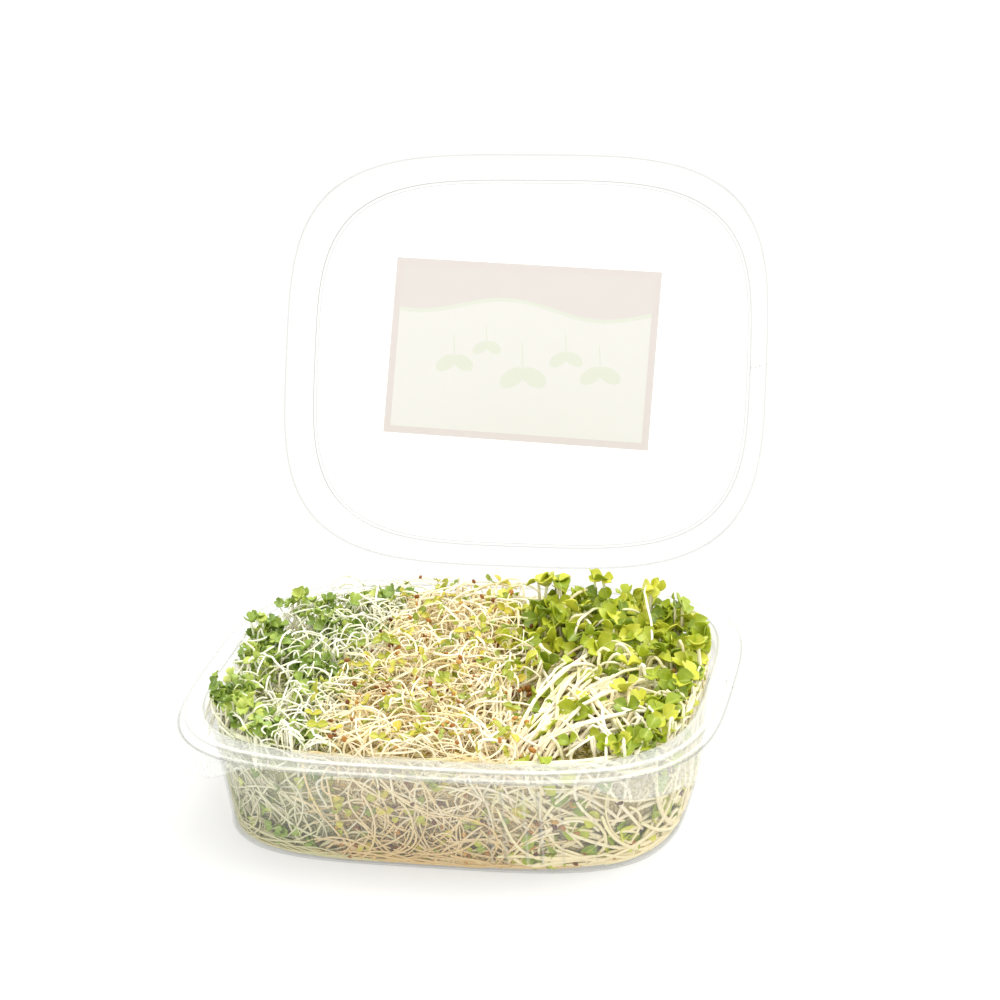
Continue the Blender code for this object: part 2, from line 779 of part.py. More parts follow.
def build_alfalfa():
    """Middle: thin curly cream sprouts, a few small leaves and brown seed coats."""
    draw = random.Random(SEED + 1)
    patch = MIDDLE_PATCH
    core = build_core("alfalfa_sprouts", patch, ALFALFA_LEVEL)

    def curl():
        start = spot_in(draw, patch, ALFALFA_LEVEL - 0.003, 0.002, ALFALFA_ACROSS, ALFALFA_DEEP)
        turn = draw.uniform(0, 2 * math.pi)
        reach = draw.uniform(0.005, 0.013)
        end = start + Vector((math.cos(turn), math.sin(turn), 0)) * reach
        return [loose_arc(draw, patch, start, end, draw.uniform(0.007, 0.011), ALFALFA_CURL_RADIUS, 6)]

    def leafy():
        tip = spot_in(draw, patch, draw.uniform(0.0475, 0.0530), 0.002, ALFALFA_ACROSS, ALFALFA_DEEP)
        root = Vector((tip.x + draw.uniform(-0.004, 0.004), tip.y + draw.uniform(-0.004, 0.004), 0))
        root.z = ALFALFA_LEVEL - 0.004
        bow = Vector((draw.uniform(-0.004, 0.004), draw.uniform(-0.004, 0.004), 0))
        return upright_sprout(draw, patch, root, tip, bow, ALFALFA_STEM, 4, ALFALFA_LEAF)

    def seed():
        place = spot_in(draw, patch, ALFALFA_LEVEL, 0.003, ALFALFA_ACROSS, ALFALFA_DEEP)
        place.z = core_height(place.x, place.y, ALFALFA_LEVEL) + 0.0004
        return [seed_coat(place, draw.uniform(0, math.pi))]

    def along_wall():
        return [wall_stem(draw, patch, ALFALFA_STEM, draw.uniform(0.012, 0.022))]

    pieces = gather(ALFALFA_CURLS, curl, patch) + gather(ALFALFA_LEAFY, leafy, patch)
    pieces += gather(ALFALFA_SEEDS, seed, patch) + gather(WALL_STEMS, along_wall, patch)
    fuse(core, pieces, "MANIFOLD")
    dress(core, "alfalfa_cream", colour=(0.86, 0.76, 0.56), roughness=0.6)
    return core


RADISH_LEVEL = 0.0365
RADISH_STEM = 0.0008
RADISH_WALL_STEM = 0.0007
RADISH_SPROUTS = 32
RADISH_ARCS = 12
RADISH_AT_BACK = 0.68
RADISH_BACK_TIPS = ((0.0, 0.085), (-0.010, 0.066), (0.0475, 0.0540))
RADISH_SIDE_TIPS = ((0.060, 0.085), (-0.066, 0.0), (0.0455, 0.0540))


def build_radish():
    """Right: thick white stems that fan back and outwards, with heart-shaped yellow-green leaves."""
    draw = random.Random(SEED + 12)
    patch = RIGHT_PATCH
    core = build_core("radish_sprouts", patch, RADISH_LEVEL)

    def sprout():
        across, deep, heights = RADISH_BACK_TIPS if draw.random() < RADISH_AT_BACK else RADISH_SIDE_TIPS
        tip = spot_in(draw, patch, draw.uniform(*heights), 0.004, across, deep)
        root = Vector((tip.x - draw.uniform(0.004, 0.022), tip.y - draw.uniform(0.006, 0.028), 0))
        root.z = RADISH_LEVEL - 0.006
        root = patch.pulled_in(root, 0.004)
        bow = Vector((draw.uniform(-0.004, 0.003), draw.uniform(-0.003, 0.003), draw.uniform(0, 0.003)))
        return upright_sprout(draw, patch, root, tip, bow, RADISH_STEM, 5, RADISH_LEAF)

    def arc():
        start = spot_in(draw, patch, RADISH_LEVEL - 0.005, 0.003, (0.022, 0.060), (-0.068, -0.010))
        end = start + Vector((draw.uniform(0.012, 0.034), draw.uniform(0.004, 0.034), 0))
        end = patch.pulled_in(end, 0.003)
        return [loose_arc(draw, patch, start, end, draw.uniform(0.011, 0.017), RADISH_STEM, 6)]

    def along_wall():
        return [wall_stem(draw, patch, RADISH_WALL_STEM, draw.uniform(0.018, 0.032))]

    pieces = gather(RADISH_SPROUTS, sprout, patch) + gather(RADISH_ARCS, arc, patch)
    pieces += gather(WALL_STEMS, along_wall, patch)
    fuse(core, pieces, "MANIFOLD")
    dress(core, "radish_green", colour=(0.62, 0.72, 0.20), roughness=0.5)
    return core


def clear_scene():
    for old in list(bpy.data.objects):
        bpy.data.objects.remove(old)


clear_scene()
hinge = bpy.data.objects.new("lid_hinge", None)
bpy.context.scene.collection.objects.link(hinge)
hinge.location = (0, HINGE_Y, HINGE_Z)
hinge.rotation_euler = (-math.radians(LID_OPEN_DEG), 0, 0)
build_tray()
build_lid(hinge)
build_label(hinge)
build_broccoli()
build_alfalfa()
build_radish()
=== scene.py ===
import json
import random
from math import copysign, cos, dist, exp, pi, radians, sin

import bmesh
import bpy
from mathutils import Matrix, Quaternion, Vector, noise


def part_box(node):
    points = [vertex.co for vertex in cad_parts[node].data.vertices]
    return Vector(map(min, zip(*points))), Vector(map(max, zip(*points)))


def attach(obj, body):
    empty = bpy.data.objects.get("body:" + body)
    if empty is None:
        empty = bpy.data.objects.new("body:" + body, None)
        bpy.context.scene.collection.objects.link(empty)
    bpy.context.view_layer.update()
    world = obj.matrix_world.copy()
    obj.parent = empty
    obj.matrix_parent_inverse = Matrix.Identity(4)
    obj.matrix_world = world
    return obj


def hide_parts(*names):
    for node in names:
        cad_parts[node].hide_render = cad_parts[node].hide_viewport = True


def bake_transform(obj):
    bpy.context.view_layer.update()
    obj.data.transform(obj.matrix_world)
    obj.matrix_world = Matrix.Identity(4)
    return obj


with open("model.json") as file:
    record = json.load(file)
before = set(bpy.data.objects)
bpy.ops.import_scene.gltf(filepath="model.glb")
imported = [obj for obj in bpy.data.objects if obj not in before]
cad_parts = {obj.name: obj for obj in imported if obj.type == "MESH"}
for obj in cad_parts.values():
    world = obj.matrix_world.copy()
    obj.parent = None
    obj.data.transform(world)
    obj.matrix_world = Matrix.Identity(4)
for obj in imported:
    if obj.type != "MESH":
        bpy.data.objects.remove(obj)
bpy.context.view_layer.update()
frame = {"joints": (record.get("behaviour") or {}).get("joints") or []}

# The view
# A long lens to the right of the tray's middle looks down on it from a little above,
# and is rolled by three degrees.
EYE = Vector((0.2122, -0.8409, 0.4455))
AIM = Vector((0.0068, 0.0386, 0.0923))
ROLL = -0.0528
LENS_MM = 98.28


def linked(name, data):
    """A new object of this name in the scene."""
    made = bpy.data.objects.new(name, data)
    bpy.context.scene.collection.objects.link(made)
    return made


camera = linked("camera", bpy.data.cameras.new("camera"))
camera.data.lens = LENS_MM
camera.data.sensor_width = 36
camera.data.clip_end = 20
camera.location = EYE
camera.rotation_mode = "QUATERNION"
camera.rotation_quaternion = (AIM - EYE).to_track_quat("-Z", "Y") @ Quaternion((0, 0, 1), ROLL)
bpy.context.scene.camera = camera


# Floor and light
# A white table that runs out of sight in a white room, and one wide soft lamp far above
# the back right. The table gives back a little glow of its own, so the shadow is faint.
FLOOR_SIZE = 14.0
FLOOR_GLOW = 0.47
ROOM_LIGHT = 1.36
LAMP_LIGHT = 2.0
LAMP_SPREAD = radians(35)
LAMP_WAY = Vector((-0.45, -0.25, -1.0))


def grid(columns, rows, size=1.0):
    """A flat square of this size about the origin."""
    bm = bmesh.new()
    bmesh.ops.create_grid(bm, x_segments=columns, y_segments=rows, size=size / 2)
    return bm


def meshed(bm, name):
    mesh = bpy.data.meshes.new(name)
    bm.to_mesh(mesh)
    bm.free()
    return mesh


floor = linked("floor", meshed(grid(2, 2, FLOOR_SIZE), "floor"))
floor_white = bpy.data.materials.new("floor_white")
floor_white.use_nodes = True
shader = floor_white.node_tree.nodes["Principled BSDF"].inputs
shader["Base Color"].default_value = (0.42, 0.42, 0.42, 1)
shader["Emission Color"].default_value = (1, 1, 1, 1)
shader["Emission Strength"].default_value = FLOOR_GLOW
shader["Roughness"].default_value = 0.7
floor.data.materials.append(floor_white)

world = bpy.data.worlds.new("white_room")
world.use_nodes = True
background = world.node_tree.nodes["Background"].inputs
background["Color"].default_value = (1.0, 0.99, 0.955, 1)
background["Strength"].default_value = ROOM_LIGHT
bpy.context.scene.world = world
bpy.context.scene.view_settings.view_transform = "Standard"

lamp = linked("soft_lamp", bpy.data.lights.new("soft_lamp", "SUN"))
lamp.data.energy = LAMP_LIGHT
lamp.data.angle = LAMP_SPREAD
lamp.rotation_mode = "QUATERNION"
lamp.rotation_quaternion = LAMP_WAY.to_track_quat("-Z", "Y")


# Tray
# Clear sheet drawn over a mould: a flat base, drafted walls with faint upright flutes, a
# rounded rim that slopes out to its lip, and a flap along the back that joins the lid.
def maths(operation, turned=False):
    """A method that feeds its value and another term, or the two turned round, to a Math node."""
    def method(value, *others):
        terms = [value, *others]
        if turned:
            terms.reverse()
        return value.finish.node("ShaderNodeMath", {"operation": operation}, dict(enumerate(terms)))
    return method


class Value:
    """An output in a finish's nodes, so that a pattern's maths reads as sums."""

    def __init__(self, finish, socket):
        self.finish = finish
        self.socket = socket

    __add__ = __radd__ = maths("ADD")
    __sub__ = maths("SUBTRACT")
    __rsub__ = maths("SUBTRACT", turned=True)
    __mul__ = __rmul__ = maths("MULTIPLY")
    __truediv__ = maths("DIVIDE")
    __pow__ = maths("POWER")
    __abs__ = maths("ABSOLUTE")
    __lt__ = maths("LESS_THAN")
    __gt__ = maths("GREATER_THAN")
    at_least = maths("MAXIMUM")
    sine = maths("SINE")


class Finish:
    """A material with its shader, and the method that adds every other node."""

    def __init__(self, name, shader):
        self.material = bpy.data.materials.new(name)
        self.material.use_nodes = True
        self.nodes = self.material.node_tree.nodes
        self.feed(self.nodes["Principled BSDF"], shader)

    def feed(self, node, sockets):
        for key, value in sockets.items():
            if isinstance(value, Value):
                self.material.node_tree.links.new(value.socket, node.inputs[key])
            else:
                node.inputs[key].default_value = value

    def node(self, kind, settings, sockets, output=0):
        made = self.nodes.new(kind)
        for key, value in settings.items():
            if key == "stops":
                self.set_stops(made.color_ramp, value)
            else:
                setattr(made, key, value)
        self.feed(made, sockets)
        return Value(self, made.outputs[output])

    def set_stops(self, ramp, stops):
        while len(ramp.elements) < len(stops):
            ramp.elements.new(0.5)
        for element, (place, colour) in zip(ramp.elements, stops):
            element.position = place
            element.color = (*colour, 1)

    def shade(self, **sockets):
        """Feeds the shader's sockets, named with _ for a space."""
        self.feed(self.nodes["Principled BSDF"], {k.replace("_", " "): v for k, v in sockets.items()})

    def place(self):
        return self.node("ShaderNodeTexCoord", {}, {}, "Object")

    def speckle(self, scale, detail, output=0):
        sockets = {"Vector": self.place(), "Scale": scale, "Detail": detail}
        return self.node("ShaderNodeTexNoise", {}, sockets, output)

    def mixed(self, share, first, second):
        """The first colour, turning into the second by this share."""
        return self.node("ShaderNodeMix", {"data_type": "RGBA"}, {0: share, 6: first, 7: second}, 2)

    def ramp(self, share, stops):
        return self.node("ShaderNodeValToRGB", {"stops": stops}, {"Fac": share})

    def axis(self, place, name):
        """One of a place's numbers: X, Y or Z."""
        return self.node("ShaderNodeSeparateXYZ", {}, {"Vector": place}, name)

    def channel(self, colour, name):
        return self.node("ShaderNodeSeparateColor", {}, {"Color": colour}, name)

    def told(self, name):
        """What the mesh's attribute of this name says."""
        return self.node("ShaderNodeAttribute", {"attribute_name": name}, {}, "Fac")

    def bumps(self, height, strength, distance):
        return self.node("ShaderNodeBump", {}, {"Height": height, "Strength": strength, "Distance": distance})


# The pale of the haze and the painted highlights, and the grey of the painted shade
PLASTIC_PALE = (0.88, 0.89, 0.84, 1)
PAINTED_SHADE_GREY = (0.10, 0.11, 0.09, 1)


def clear_plastic(name, haze, edge, painted_lines=()):
    """Thin clear sheet with its painted shade and its haze: painted grey shade where it turns away from the
    eye.

    A painted line is a painted highlight along a fold or, below 0, a painted dark line: its
    distance along the section and its half width in mm, and its strength.
    """
    made = Finish(name, {"IOR": 1.57, "Specular IOR Level": 0.5})
    # Painted grey shade where the sheet turns away from the eye
    painted_shade = made.node("ShaderNodeLayerWeight", {}, {"Blend": 0.5}, "Facing") ** 3.0 * edge
    haze_and_glint = haze
    if painted_lines:
        length = painted_lines[-1][0] + 2 * painted_lines[-1][1]
        stops = []
        for place, half, strength in painted_lines:
            stops.append(((place - half) / length, (0, 0, 0)))
            stops.append((place / length, (max(-strength, 0), max(strength, 0), 0)))
            stops.append(((place + half) / length, (0, 0, 0)))
        # A ramp along the section paints the highlight and dark lines
        painted_fold_lines = made.ramp(made.told("run") * (1000 / length), stops)
        painted_shade = painted_shade + made.channel(painted_fold_lines, "Red")
        haze_and_glint = made.channel(painted_fold_lines, "Green") + haze
    return made, painted_shade, haze_and_glint


def lit_plastic(made, painted_shade, haze_and_glint):
    """The same sheet, once its painted shade, its haze and its painted highlights are known."""
    both = painted_shade + haze_and_glint
    made.shade(Base_Color=made.mixed(painted_shade / both, PLASTIC_PALE, PAINTED_SHADE_GREY), Alpha=both)
    made.shade(Roughness=0.05 + made.speckle(600, 1) * 0.12)
    return made


tray_low, tray_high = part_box("tray")
HALF_X = tray_high.x
HALF_Y = -tray_low.y
SHEET = 0.0006
RING_STEPS = 400
RIM_BOW = 3.6
BASE_BOW = 3.9
BASE_TOP = 0.002
# The tray's inner skin from its lip over the rim and down to its floor, as distances in
# from the lip and heights
TRAY_COURSE = (
    (0.0000, 0.0411), (0.0001, 0.0413), (0.0012, 0.0416), (0.0026, 0.0440), (0.0052, 0.0446),
    (0.0077, 0.0450), (0.0088, 0.0440), (0.0103, 0.0412), (0.0115, 0.0330), (0.0127, 0.0230),
    (0.0141, 0.0112), (0.0146, 0.0062), (0.0151, 0.0026), (0.0156, 0.0010), (0.0170, 0.0006),
    (0.0220, 0.0006), (0.0232, 0.0010), (0.0300, 0.0010), (0.0450, 0.0010), (0.0650, 0.0010),
)


def outline_point(turn, inset, bow=RIM_BOW, half=(HALF_X, HALF_Y)):
    """A bowed rectangle's point at this angle of its formula, this far in from the rim's lip."""
    c = cos(turn)
    s = sin(turn)
    x = copysign(abs(c) ** (2 / bow), c) * (half[0] - inset)
    y = copysign(abs(s) ** (2 / bow), s) * (half[1] - inset)
    return x, y


def even_turns(count):
    """Angles of the outline's formula that are evenly spaced along the rim."""
    fine = [2 * pi * i / 7200 for i in range(7201)]
    points = [Vector(outline_point(turn, 0)) for turn in fine]
    runs = [0.0]
    for first, second in zip(points, points[1:]):
        runs.append(runs[-1] + (second - first).length)
    turns = []
    for turn, run in zip(fine, runs):
        if len(turns) < count and run >= runs[-1] * len(turns) / count:
            turns.append(turn)
    return turns


TURNS = even_turns(RING_STEPS)


def softened(course, rounds):
    """The course with its corners cut off again and again, which rounds them."""
    for _ in range(rounds):
        cut = [course[0]]
        for first, second in zip(course, course[1:]):
            for share in (0.25, 0.75):
                cut.append(tuple(a + (b - a) * share for a, b in zip(first, second)))
        course = [*cut, course[-1]]
    return course


VERT = bmesh.types.BMVert
EDGE = bmesh.types.BMEdge


def picked(geom, sort):
    """The points or the edges in an operator's results."""
    return [g for g in geom if isinstance(g, sort)]


def rings(course, shape, turns):
    """A sheet drawn ring by ring from its edge to its middle, which is closed with one face."""
    bm = bmesh.new()
    turn = bm.verts.layers.float.new("turn")
    run = bm.verts.layers.float.new("run")
    verts = bmesh.ops.create_circle(bm, segments=len(turns), radius=1)["verts"]
    for vert, angle in zip(verts, turns):
        vert[turn] = angle
    edges = bm.edges[:]
    travelled = 0.0
    last_place = course[0]
    for inset, z in course:
        travelled += dist(last_place, (inset, z))
        last_place = (inset, z)
        for vert in verts:
            vert.co = shape(vert[turn], inset, z)
            vert[run] = travelled
        last = edges
        grown = bmesh.ops.extrude_edge_only(bm, edges=edges)["geom"]
        verts = set(picked(grown, VERT))
        edges = [e for e in picked(grown, EDGE) if verts.issuperset(e.verts)]
    bmesh.ops.delete(bm, geom=list(verts), context="VERTS")
    bmesh.ops.edgeloop_fill(bm, edges=last)
    return bm


def face_up(bm):
    """Faces that look up and into the tray, or out of the lid's top."""
    bmesh.ops.recalc_face_normals(bm, faces=bm.faces)
    if max(bm.faces, key=lambda f: f.calc_area()).normal.z < 0:
        bmesh.ops.reverse_faces(bm, faces=bm.faces)


def set_down(mesh, name, finish, body, sheet=0.0):
    """Makes the piece, with its finish and body and, for a sheet, its thickness below the face."""
    if isinstance(mesh, bmesh.types.BMesh):
        mesh = meshed(mesh, name)
    made = linked(name, mesh)
    mesh.shade_smooth()
    mesh.set_sharp_from_angle(angle=radians(50))
    mesh.materials.append(finish.material)
    if sheet:
        thick = made.modifiers.new("sheet", "SOLIDIFY")
        thick.thickness = sheet
        thick.offset = -1
        thick.use_even_offset = False
    if body:
        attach(made, body)
    return made


# Painted highlight lines and, below 0, painted dark lines along the tray's folds, from its lip to its floor
TRAY_PAINTED_LINES = (
    (0.6, 0.5, -0.40), (1.7, 0.5, 0.30), (3.7, 0.5, -0.22), (4.9, 0.7, 0.40),
    (9.2, 0.7, 0.45), (10.4, 0.5, -0.28), (14.2, 0.5, 0.30), (15.2, 0.5, -0.18),
    (55.0, 0.9, 0.20), (57.0, 0.6, -0.20),
)
# Grooves down the front and side walls, as places along X or Y, each with its depth
FRONT_FLUTES = (
    (0.0215, 0.5), (0.0265, 1.0), (0.0335, 0.8), (0.0385, 1.0),
    (0.0455, 0.5), (0.0560, 0.4), (-0.0350, 0.3),
)
SIDE_FLUTES = ((-0.0350, 1.0), (-0.0270, 0.8), (-0.0190, 0.5), (0.0200, 0.5))
FLUTE_DEPTH = 0.0007
FLUTE_WIDTH = 0.0011
FLUTED = (0.004, 0.032)
FLUTE_SHADE_AND_GLINT = 0.2
FLUTE_EDGE = 0.0005
FRONT_WALL = -0.055
SIDE_WALL = 0.070
HAZE_RISE = 2.4


def flute(x, y, z):
    """How far a flute pushes the wall in at this place."""
    if not FLUTED[0] < z < FLUTED[1]:
        return 0.0
    grooves = ()
    if y < FRONT_WALL:
        grooves = [(x - place, depth) for place, depth in FRONT_FLUTES]
    elif abs(x) > SIDE_WALL:
        grooves = [(y - place, depth) for place, depth in SIDE_FLUTES]
    fade = sin(pi * (z - FLUTED[0]) / (FLUTED[1] - FLUTED[0])) ** 0.5
    return fade * sum(FLUTE_DEPTH * depth * exp(-((away / FLUTE_WIDTH) ** 2)) for away, depth in grooves)


def tray_point(turn, inset, z):
    """A point of the tray's skin, which is a little squarer at its base than at its rim."""
    bow = BASE_BOW if z < BASE_TOP else RIM_BOW
    x, y = outline_point(turn, inset, bow)
    x, y = outline_point(turn, inset + flute(x, y, z), bow)
    return x, y, z


tray_plastic, painted_shade, haze_and_glint = clear_plastic("tray_plastic", haze=0.030, edge=0.26, painted_lines=TRAY_PAINTED_LINES)
where = tray_plastic.place()
x = tray_plastic.axis(where, "X")
y = tray_plastic.axis(where, "Y")
z = tray_plastic.axis(where, "Z")
# A flute has painted shade on one side and a painted highlight on the other, and the haze grows towards the
# rim
wide = FLUTE_EDGE / (2 * HALF_X)
stops = []
for place, depth in sorted(FRONT_FLUTES):
    share = 0.5 + place / (2 * HALF_X)
    stops += [(share - wide, (0, 0, 0)), (share, (FLUTE_SHADE_AND_GLINT * depth, 0, 0))]
    stops += [(share + wide, (0, FLUTE_SHADE_AND_GLINT * depth, 0)), (share + 2 * wide, (0, 0, 0))]
grooves = tray_plastic.ramp(x * (0.5 / HALF_X) + 0.5, stops)
on_front = (y < FRONT_WALL) * (z > FLUTED[0]) * (z < FLUTED[1] + 0.001)
painted_shade = painted_shade + on_front * tray_plastic.channel(grooves, "Red")
haze_and_glint = haze_and_glint + z * HAZE_RISE + on_front * tray_plastic.channel(grooves, "Green")
lit_plastic(tray_plastic, painted_shade, haze_and_glint)
bm = rings(softened(TRAY_COURSE, 1), tray_point, TURNS)
face_up(bm)
tray = set_down(bm, "tray_shell", tray_plastic, "tray", SHEET)
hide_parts("tray")


# Tray's grip tabs
# At both front corners the lip runs down and out into a tab with a fine moulded stipple,
# drawn from the same sheet.
TAB_DROP = 0.0062
TAB_FLARE = 0.0036
TAB_ALONG = (0.040, 0.044)
TAB_SHEET = 0.0004
TAB_BEGINS = 0.03
LIP_TOP = TRAY_COURSE[0][1]


def corner_share(x, y, along):
    """1 at a front corner, falling smoothly to 0 at these distances along its two sides."""
    share = 1 - max((HALF_X - abs(x)) / along[0], (HALF_Y - abs(y)) / along[1])
    share = min(max(share * 2.4, 0), 1)
    return share * share * (3 - 2 * share)


def corner_turns(side, along):
    """The first and last angle of the outline round a front corner where its tab stands out."""
    middle = -pi / 4 if side > 0 else -3 * pi / 4
    found = [middle + radians(0.2) * i for i in range(-200, 200)]
    found = [a for a in found if corner_share(*outline_point(a, 0), along) > TAB_BEGINS]
    return found[0], found[-1]


stippled, painted_shade, haze_and_glint = clear_plastic("stippled_plastic", haze=0.07, edge=0.20)
pits = stippled.node("ShaderNodeTexVoronoi", {}, {"Vector": stippled.place(), "Scale": 900})
# Painted shade in the middle of each stipple cell and a painted highlight towards its rim
shaded = 0.20 - pits * 0.45
lit_plastic(stippled, painted_shade + shaded.at_least(0), haze_and_glint + pits * 0.14)
stippled.shade(Normal=stippled.bumps(pits, 0.5, 0.0003))
for side, name in ((-1, "left"), (1, "right")):
    first, last = corner_turns(side, TAB_ALONG)
    bm = grid(60, 10)
    for vert in bm.verts:
        turn = first + (last - first) * (vert.co.x + 0.5)
        down = 0.5 - vert.co.y
        share = 0.06 + 0.94 * corner_share(*outline_point(turn, 0), TAB_ALONG)
        x, y = outline_point(turn, -TAB_FLARE * share * down**1.3 + 0.0003)
        vert.co = (x, y, LIP_TOP - TAB_DROP * share * down)
    face_up(bm)
    tab = set_down(bm, "tray_grip_" + name, stippled, "tray", TAB_SHEET)


# Lid
# The same clear sheet, thinner: a flat crown over a sloped dome, a flat edge that snaps
# into the tray's rim, and squared corners with fine grip ribs. It hangs open on its fold.
fold = Vector(frame["joints"][0]["pos_m"])
OPEN = radians(-frame["joints"][0]["range_deg"][0])
OPENED = Matrix.Translation(fold) @ Matrix.Rotation(-OPEN, 4, "X") @ Matrix.Translation(-fold)
LID_COURSE = (
    (0.0009, 0.0440), (0.0010, 0.0442), (0.0032, 0.0453), (0.0041, 0.0463), (0.0064, 0.0516),
    (0.0087, 0.0566), (0.0094, 0.0575), (0.0105, 0.0579), (0.0150, 0.0579), (0.0300, 0.0579),
    (0.0600, 0.0579),
)
LID_EDGE = LID_COURSE[0][0]
CROWN = LID_COURSE[-1][1]
LID_SHEET = 0.0005
# Painted dark lines along the lid's folds, from its edge to its crown
LID_PAINTED_LINES = (
    (1.0, 0.9, -0.26), (2.8, 0.6, -0.20), (5.0, 0.8, -0.18),
    (14.4, 1.3, -0.08), (16.3, 0.5, -0.42), (17.6, 0.5, -0.26),
)
LID_TAB_ALONG = (0.030, 0.040)
LID_TAB_HALF = (0.0937, 0.0791)
LID_TAB_BOW = 9
LID_TAB_TOP = 0.0443
LID_RIB_PITCH = 0.0015
LID_RIB_RISE = 0.0004
# Two small bumps on the crown, from the mould's vents
DOTS = ((0.0092, 0.0434), (0.0080, -0.0563))

lid_plastic = lit_plastic(*clear_plastic("lid_plastic", haze=0.015, edge=0.30, painted_lines=LID_PAINTED_LINES))
bm = rings(softened(LID_COURSE, 1), lambda turn, inset, z: (*outline_point(turn, inset), z), TURNS)
face_up(bm)
for x, y in DOTS:
    dot = bmesh.ops.create_uvsphere(bm, u_segments=12, v_segments=6, radius=0.0007)["verts"]
    bmesh.ops.scale(bm, verts=dot, vec=(1, 1, 0.4))
    bmesh.ops.translate(bm, verts=dot, vec=(x, y, CROWN))
bmesh.ops.transform(bm, matrix=OPENED, verts=bm.verts)
lid = set_down(bm, "lid_shell", lid_plastic, "lid", LID_SHEET)
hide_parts("lid")


def lid_tab_edge(turn):
    """The tab's outer edge, between the lid's own edge and a squarer outline."""
    x, y = outline_point(turn, LID_EDGE)
    square_x, square_y = outline_point(turn, 0, LID_TAB_BOW, LID_TAB_HALF)
    share = corner_share(x, y, LID_TAB_ALONG)
    return x + (square_x - x) * share, y + (square_y - y) * share


lid_tab_plastic = lit_plastic(*clear_plastic("lid_tab_plastic", haze=0.05, edge=0.16))
for side, name in ((-1, "left"), (1, "right")):
    first, last = corner_turns(side, LID_TAB_ALONG)
    bm = grid(70, 24)
    for vert in bm.verts:
        turn = first + (last - first) * (vert.co.x + 0.5)
        inner = Vector(outline_point(turn, 0.0016))
        x, y = inner.lerp(Vector(lid_tab_edge(turn)), vert.co.y + 0.5)
        rib = 0.5 + 0.5 * cos(2 * pi * x / LID_RIB_PITCH)
        on_tab = corner_share(x, y, LID_TAB_ALONG)
        vert.co = (x, y, LID_TAB_TOP + LID_RIB_RISE * rib * on_tab)
    face_up(bm)
    bmesh.ops.transform(bm, matrix=OPENED, verts=bm.verts)
    tab = set_down(bm, "lid_grip_" + name, lid_tab_plastic, "lid", LID_SHEET)


# Hinge
# The sheet runs on from the tray's rim into the lid's edge as two flaps, and a thin film
# left between them by the mould folds.
FLAP_HALF = 0.058
FLAP_GAP = 0.00015
FILM_ARM = 0.0009
FILM_SHEET = 0.0002


def flap(name, inset, top, finish, body, place):
    """A flat strip from the bowed edge to just short of the fold."""
    bm = grid(60, 6)
    for vert in bm.verts:
        x = vert.co.x * 2 * FLAP_HALF
        near = (HALF_Y - inset) * (1 - (abs(x) / (HALF_X - inset)) ** RIM_BOW) ** (1 / RIM_BOW)
        far = fold.y - FLAP_GAP
        vert.co = (x, near + (far - near) * (vert.co.y + 0.5), top)
    face_up(bm)
    bmesh.ops.transform(bm, matrix=place, verts=bm.verts)
    made = set_down(bm, name, finish, body, LID_SHEET)


flap("tray_flap", 0.0014, fold.z - FLAP_GAP, tray_plastic, "tray", Matrix.Identity(4))
flap("lid_flap", 0.0019, fold.z + FLAP_GAP + LID_SHEET, lid_plastic, "lid", OPENED)
bm = grid(40, 8)
for vert in bm.verts:
    along = vert.co.y * 2
    lean = Vector((0, 1, 0)) if along < 0 else Vector((0, -cos(OPEN), sin(OPEN)))
    point = fold + lean * (FILM_ARM * along)
    vert.co = (vert.co.x * 2 * (FLAP_HALF - 0.001), point.y, point.z)
film = set_down(bm, "hinge_film", lid_plastic, None, FILM_SHEET)
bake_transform(film)


# Label
# Printed paper stuck on the crown's outer face, its print towards the outside. Seen through
# the lid its back is paler.
LABEL_SIZE = (0.1040, 0.0680)
LABEL_CENTRE = Vector((-0.0033, -0.0040, CROWN + 0.0003))
LABEL_TURN = radians(2.5)
LABEL_SHEET = 0.0002
FRAME_WIDTH = (0.026, 0.040)
LABEL_WAVE = 0.045
BAND_TOP = 0.24
LINE_TOP = 0.262
# The print's row of seedlings, as shares of the sheet: each one's foot and its size
SEEDLINGS = (
    (0.24, 0.42, 0.085), (0.36, 0.36, 0.065), (0.50, 0.44, 0.105), (0.66, 0.38, 0.075), (0.79, 0.43, 0.090),
)
LEANS = (0.5, 2.5)
INK_PAPER = (0.745, 0.735, 0.705, 1)
INK_BAND = (0.44, 0.25, 0.27, 1)
INK_LINE = (0.45, 0.58, 0.30, 1)
INK_STALK = (0.40, 0.54, 0.24, 1)
INK_LEAF = (0.42, 0.56, 0.22, 1)
INK_FRAME = (0.40, 0.17, 0.18, 1)
INK_BACK = (0.72, 0.715, 0.69, 1)

